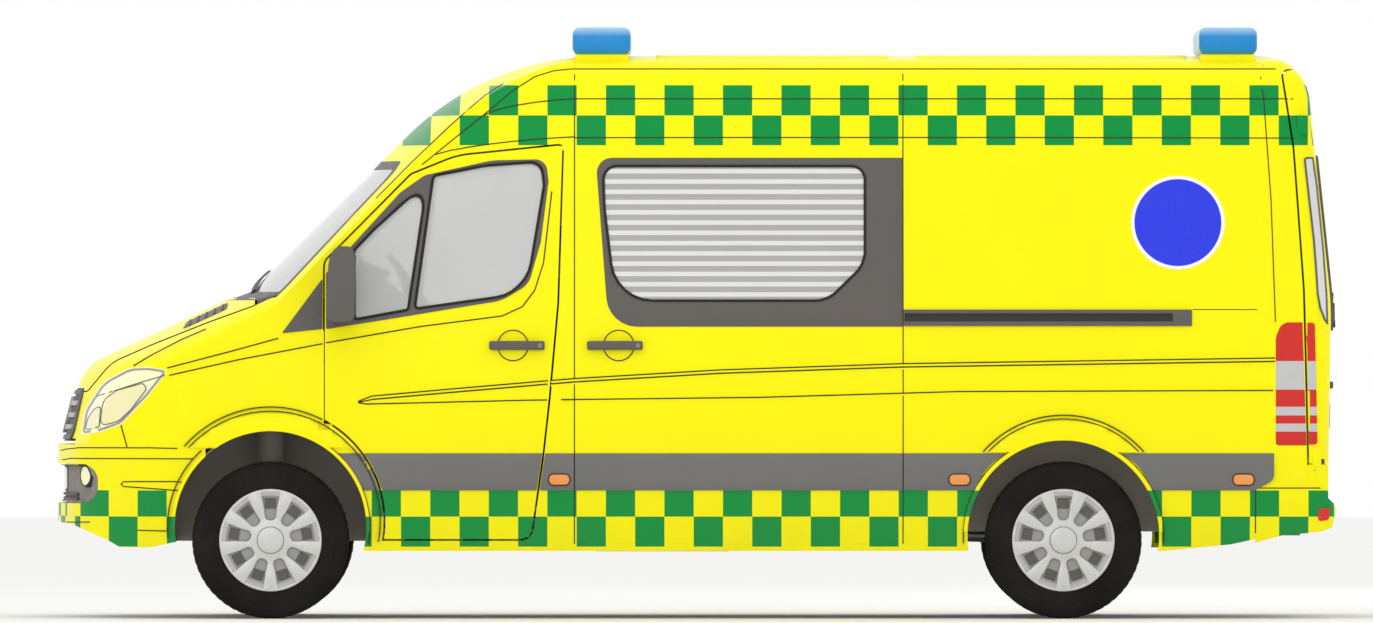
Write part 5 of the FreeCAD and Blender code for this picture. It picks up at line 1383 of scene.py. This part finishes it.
class VAN_OT_dash(Builder):
    """Binnacle, screen, air vents and gear lever"""
    bl_idname = "van.dash"
    bl_label = "Dashboard fittings"

    def build(self):
        y = -SEAT_SIDE
        tree = tree_of(("dashboard",))
        hood = slab("left", front((352, 1600, 6), (520, 1560, 10), (556, 1600, 10), (430, 1650, 40),
                                  (352, 1640, 20)), y - 0.150, y + 0.150, 0.008)
        piece("binnacle", hood, "cabin")
        vents, slats = [], []
        for middle in (-0.78, -0.12, 0.12, 0.78):
            x = START - depth_at(tree, "dash", middle, 1.47)
            vents.append(block((x - 0.010, middle - 0.055, 1.435), (x + 0.010, middle + 0.055, 1.505), 0.008))
            for step in range(4):
                z = 1.447 + step * 0.016
                slats.append(block((x + 0.006, middle - 0.046, z),
                                   (x + 0.014, middle + 0.046, z + 0.004), 0.001, 1))
        piece("air_vents", joined(*vents), "black", slot="cabin_plastic")
        piece("air_vent_slats", joined(*slats), "cabin")
        x = START - depth_at(tree, "dash", 0.0, 1.36)
        screen = block((x - 0.012, -0.110, 1.300), (x + 0.008, 0.110, 1.415), 0.006)
        piece("radio", screen, "black", slot="cabin_plastic")
        knob = turned([(0.0, -0.030), (0.018, -0.026), (0.026, 0.0), (0.022, 0.024), (0.0, 0.032)],
                      (x + 0.090, 0.0, 1.290), 24, axis=(0.3, 0, 1), closed=False)
        lever = joined(bar((x - 0.02, 0.0, 1.235), (x + 0.085, 0.0, 1.285), 0.009), knob)
        piece("gear_lever", lever, "rubber", slot="cabin_plastic")


# ---------------------------------------------------------------- the stage

CAMERA_PLACE = (-0.038, -124.36, 1.419)
CAMERA_LENS = 700
CAMERA_REACH = 400


class VAN_OT_stage(Builder):
    """Pale floor, soft lights and the side-on camera"""
    bl_idname = "van.stage"
    bl_label = "Studio"

    def build(self):
        scene = bpy.context.scene
        scene.view_settings.view_transform = "Standard"
        pale = Finish("studio_floor", (0.90, 0.90, 0.89), Roughness=0.9).wear(0.6, 0.01, 0.02).material
        bm = bmesh.new()
        bmesh.ops.create_circle(bm, cap_ends=True, segments=96, radius=sizes().room)
        move(bm, (0, 0, -0.001))
        mesh = bpy.data.meshes.new("studio_floor")
        bm.to_mesh(mesh)
        bm.free()
        floor = bpy.data.objects.new("studio_floor", mesh)
        mesh.materials.append(pale)
        scene.collection.objects.link(floor)
        world = bpy.data.worlds.new("studio_air")
        world.use_nodes = True
        air = world.node_tree.nodes["Background"]
        air.inputs["Color"].default_value = (1.0, 1.0, 1.0, 1)
        air.inputs["Strength"].default_value = 1.0
        scene.world = world
        lights = (
            # name, place, size, power
            ("over", (-1.0, -3.0, 9.0), 9.0, 90.0),
            ("side", (-4.0, -12.0, 5.5), 8.0, 90.0),
            ("behind", (6.0, 10.0, 6.0), 8.0, 90.0),
        )
        for name, place, width, power in lights:
            data = bpy.data.lights.new(name, "AREA")
            data.size = width
            data.energy = power
            lamp = bpy.data.objects.new(name, data)
            lamp.location = place
            aim = Vector((0, 0, 1.2)) - Vector(place)
            lamp.rotation_euler = aim.to_track_quat("-Z", "Y").to_euler()
            lamp.visible_camera = False
            scene.collection.objects.link(lamp)
        data = bpy.data.cameras.new("side_on")
        data.lens = CAMERA_LENS
        data.sensor_width = 36
        data.clip_end = CAMERA_REACH
        camera = bpy.data.objects.new("side_on", data)
        camera.location = CAMERA_PLACE
        camera.rotation_euler = (math.pi / 2, 0, 0)
        scene.collection.objects.link(camera)
        scene.camera = camera


# ---------------------------------------------------------------- the add-on

STEPS = (
    VAN_OT_finishes, VAN_OT_window_trim, VAN_OT_pressings, VAN_OT_rub_strips, VAN_OT_flares,
    VAN_OT_handles, VAN_OT_emblem, VAN_OT_nose, VAN_OT_tail, VAN_OT_light_bars, VAN_OT_wheels,
    VAN_OT_mirrors, VAN_OT_seats, VAN_OT_dash, VAN_OT_stage,
)


class VAN_PT_panel(bpy.types.Panel):
    """Lists the sizes, the colours and the steps of the van."""
    bl_idname = "VAN_PT_panel"
    bl_label = "Ambulance van"
    bl_space_type = "VIEW_3D"
    bl_region_type = "UI"
    bl_category = "Ambulance"

    def draw(self, context):
        column = self.layout.column()
        for group in (context.scene.van_colours, context.scene.van_sizes):
            for name in group.__annotations__:
                column.prop(group, name)
        for step in STEPS:
            column.operator(step.bl_idname)


CLASSES = (VanColours, VanSizes) + STEPS + (VAN_PT_panel,)


def register():
    for item in CLASSES:
        bpy.utils.register_class(item)
    bpy.types.Scene.van_colours = bpy.props.PointerProperty(type=VanColours)
    bpy.types.Scene.van_sizes = bpy.props.PointerProperty(type=VanSizes)


def unregister():
    del bpy.types.Scene.van_sizes
    del bpy.types.Scene.van_colours
    for item in reversed(CLASSES):
        bpy.utils.unregister_class(item)


def main():
    register()
    for step in STEPS:
        group, name = step.bl_idname.split(".")
        getattr(getattr(bpy.ops, group), name)()


if __name__ == "__main__":
    main()
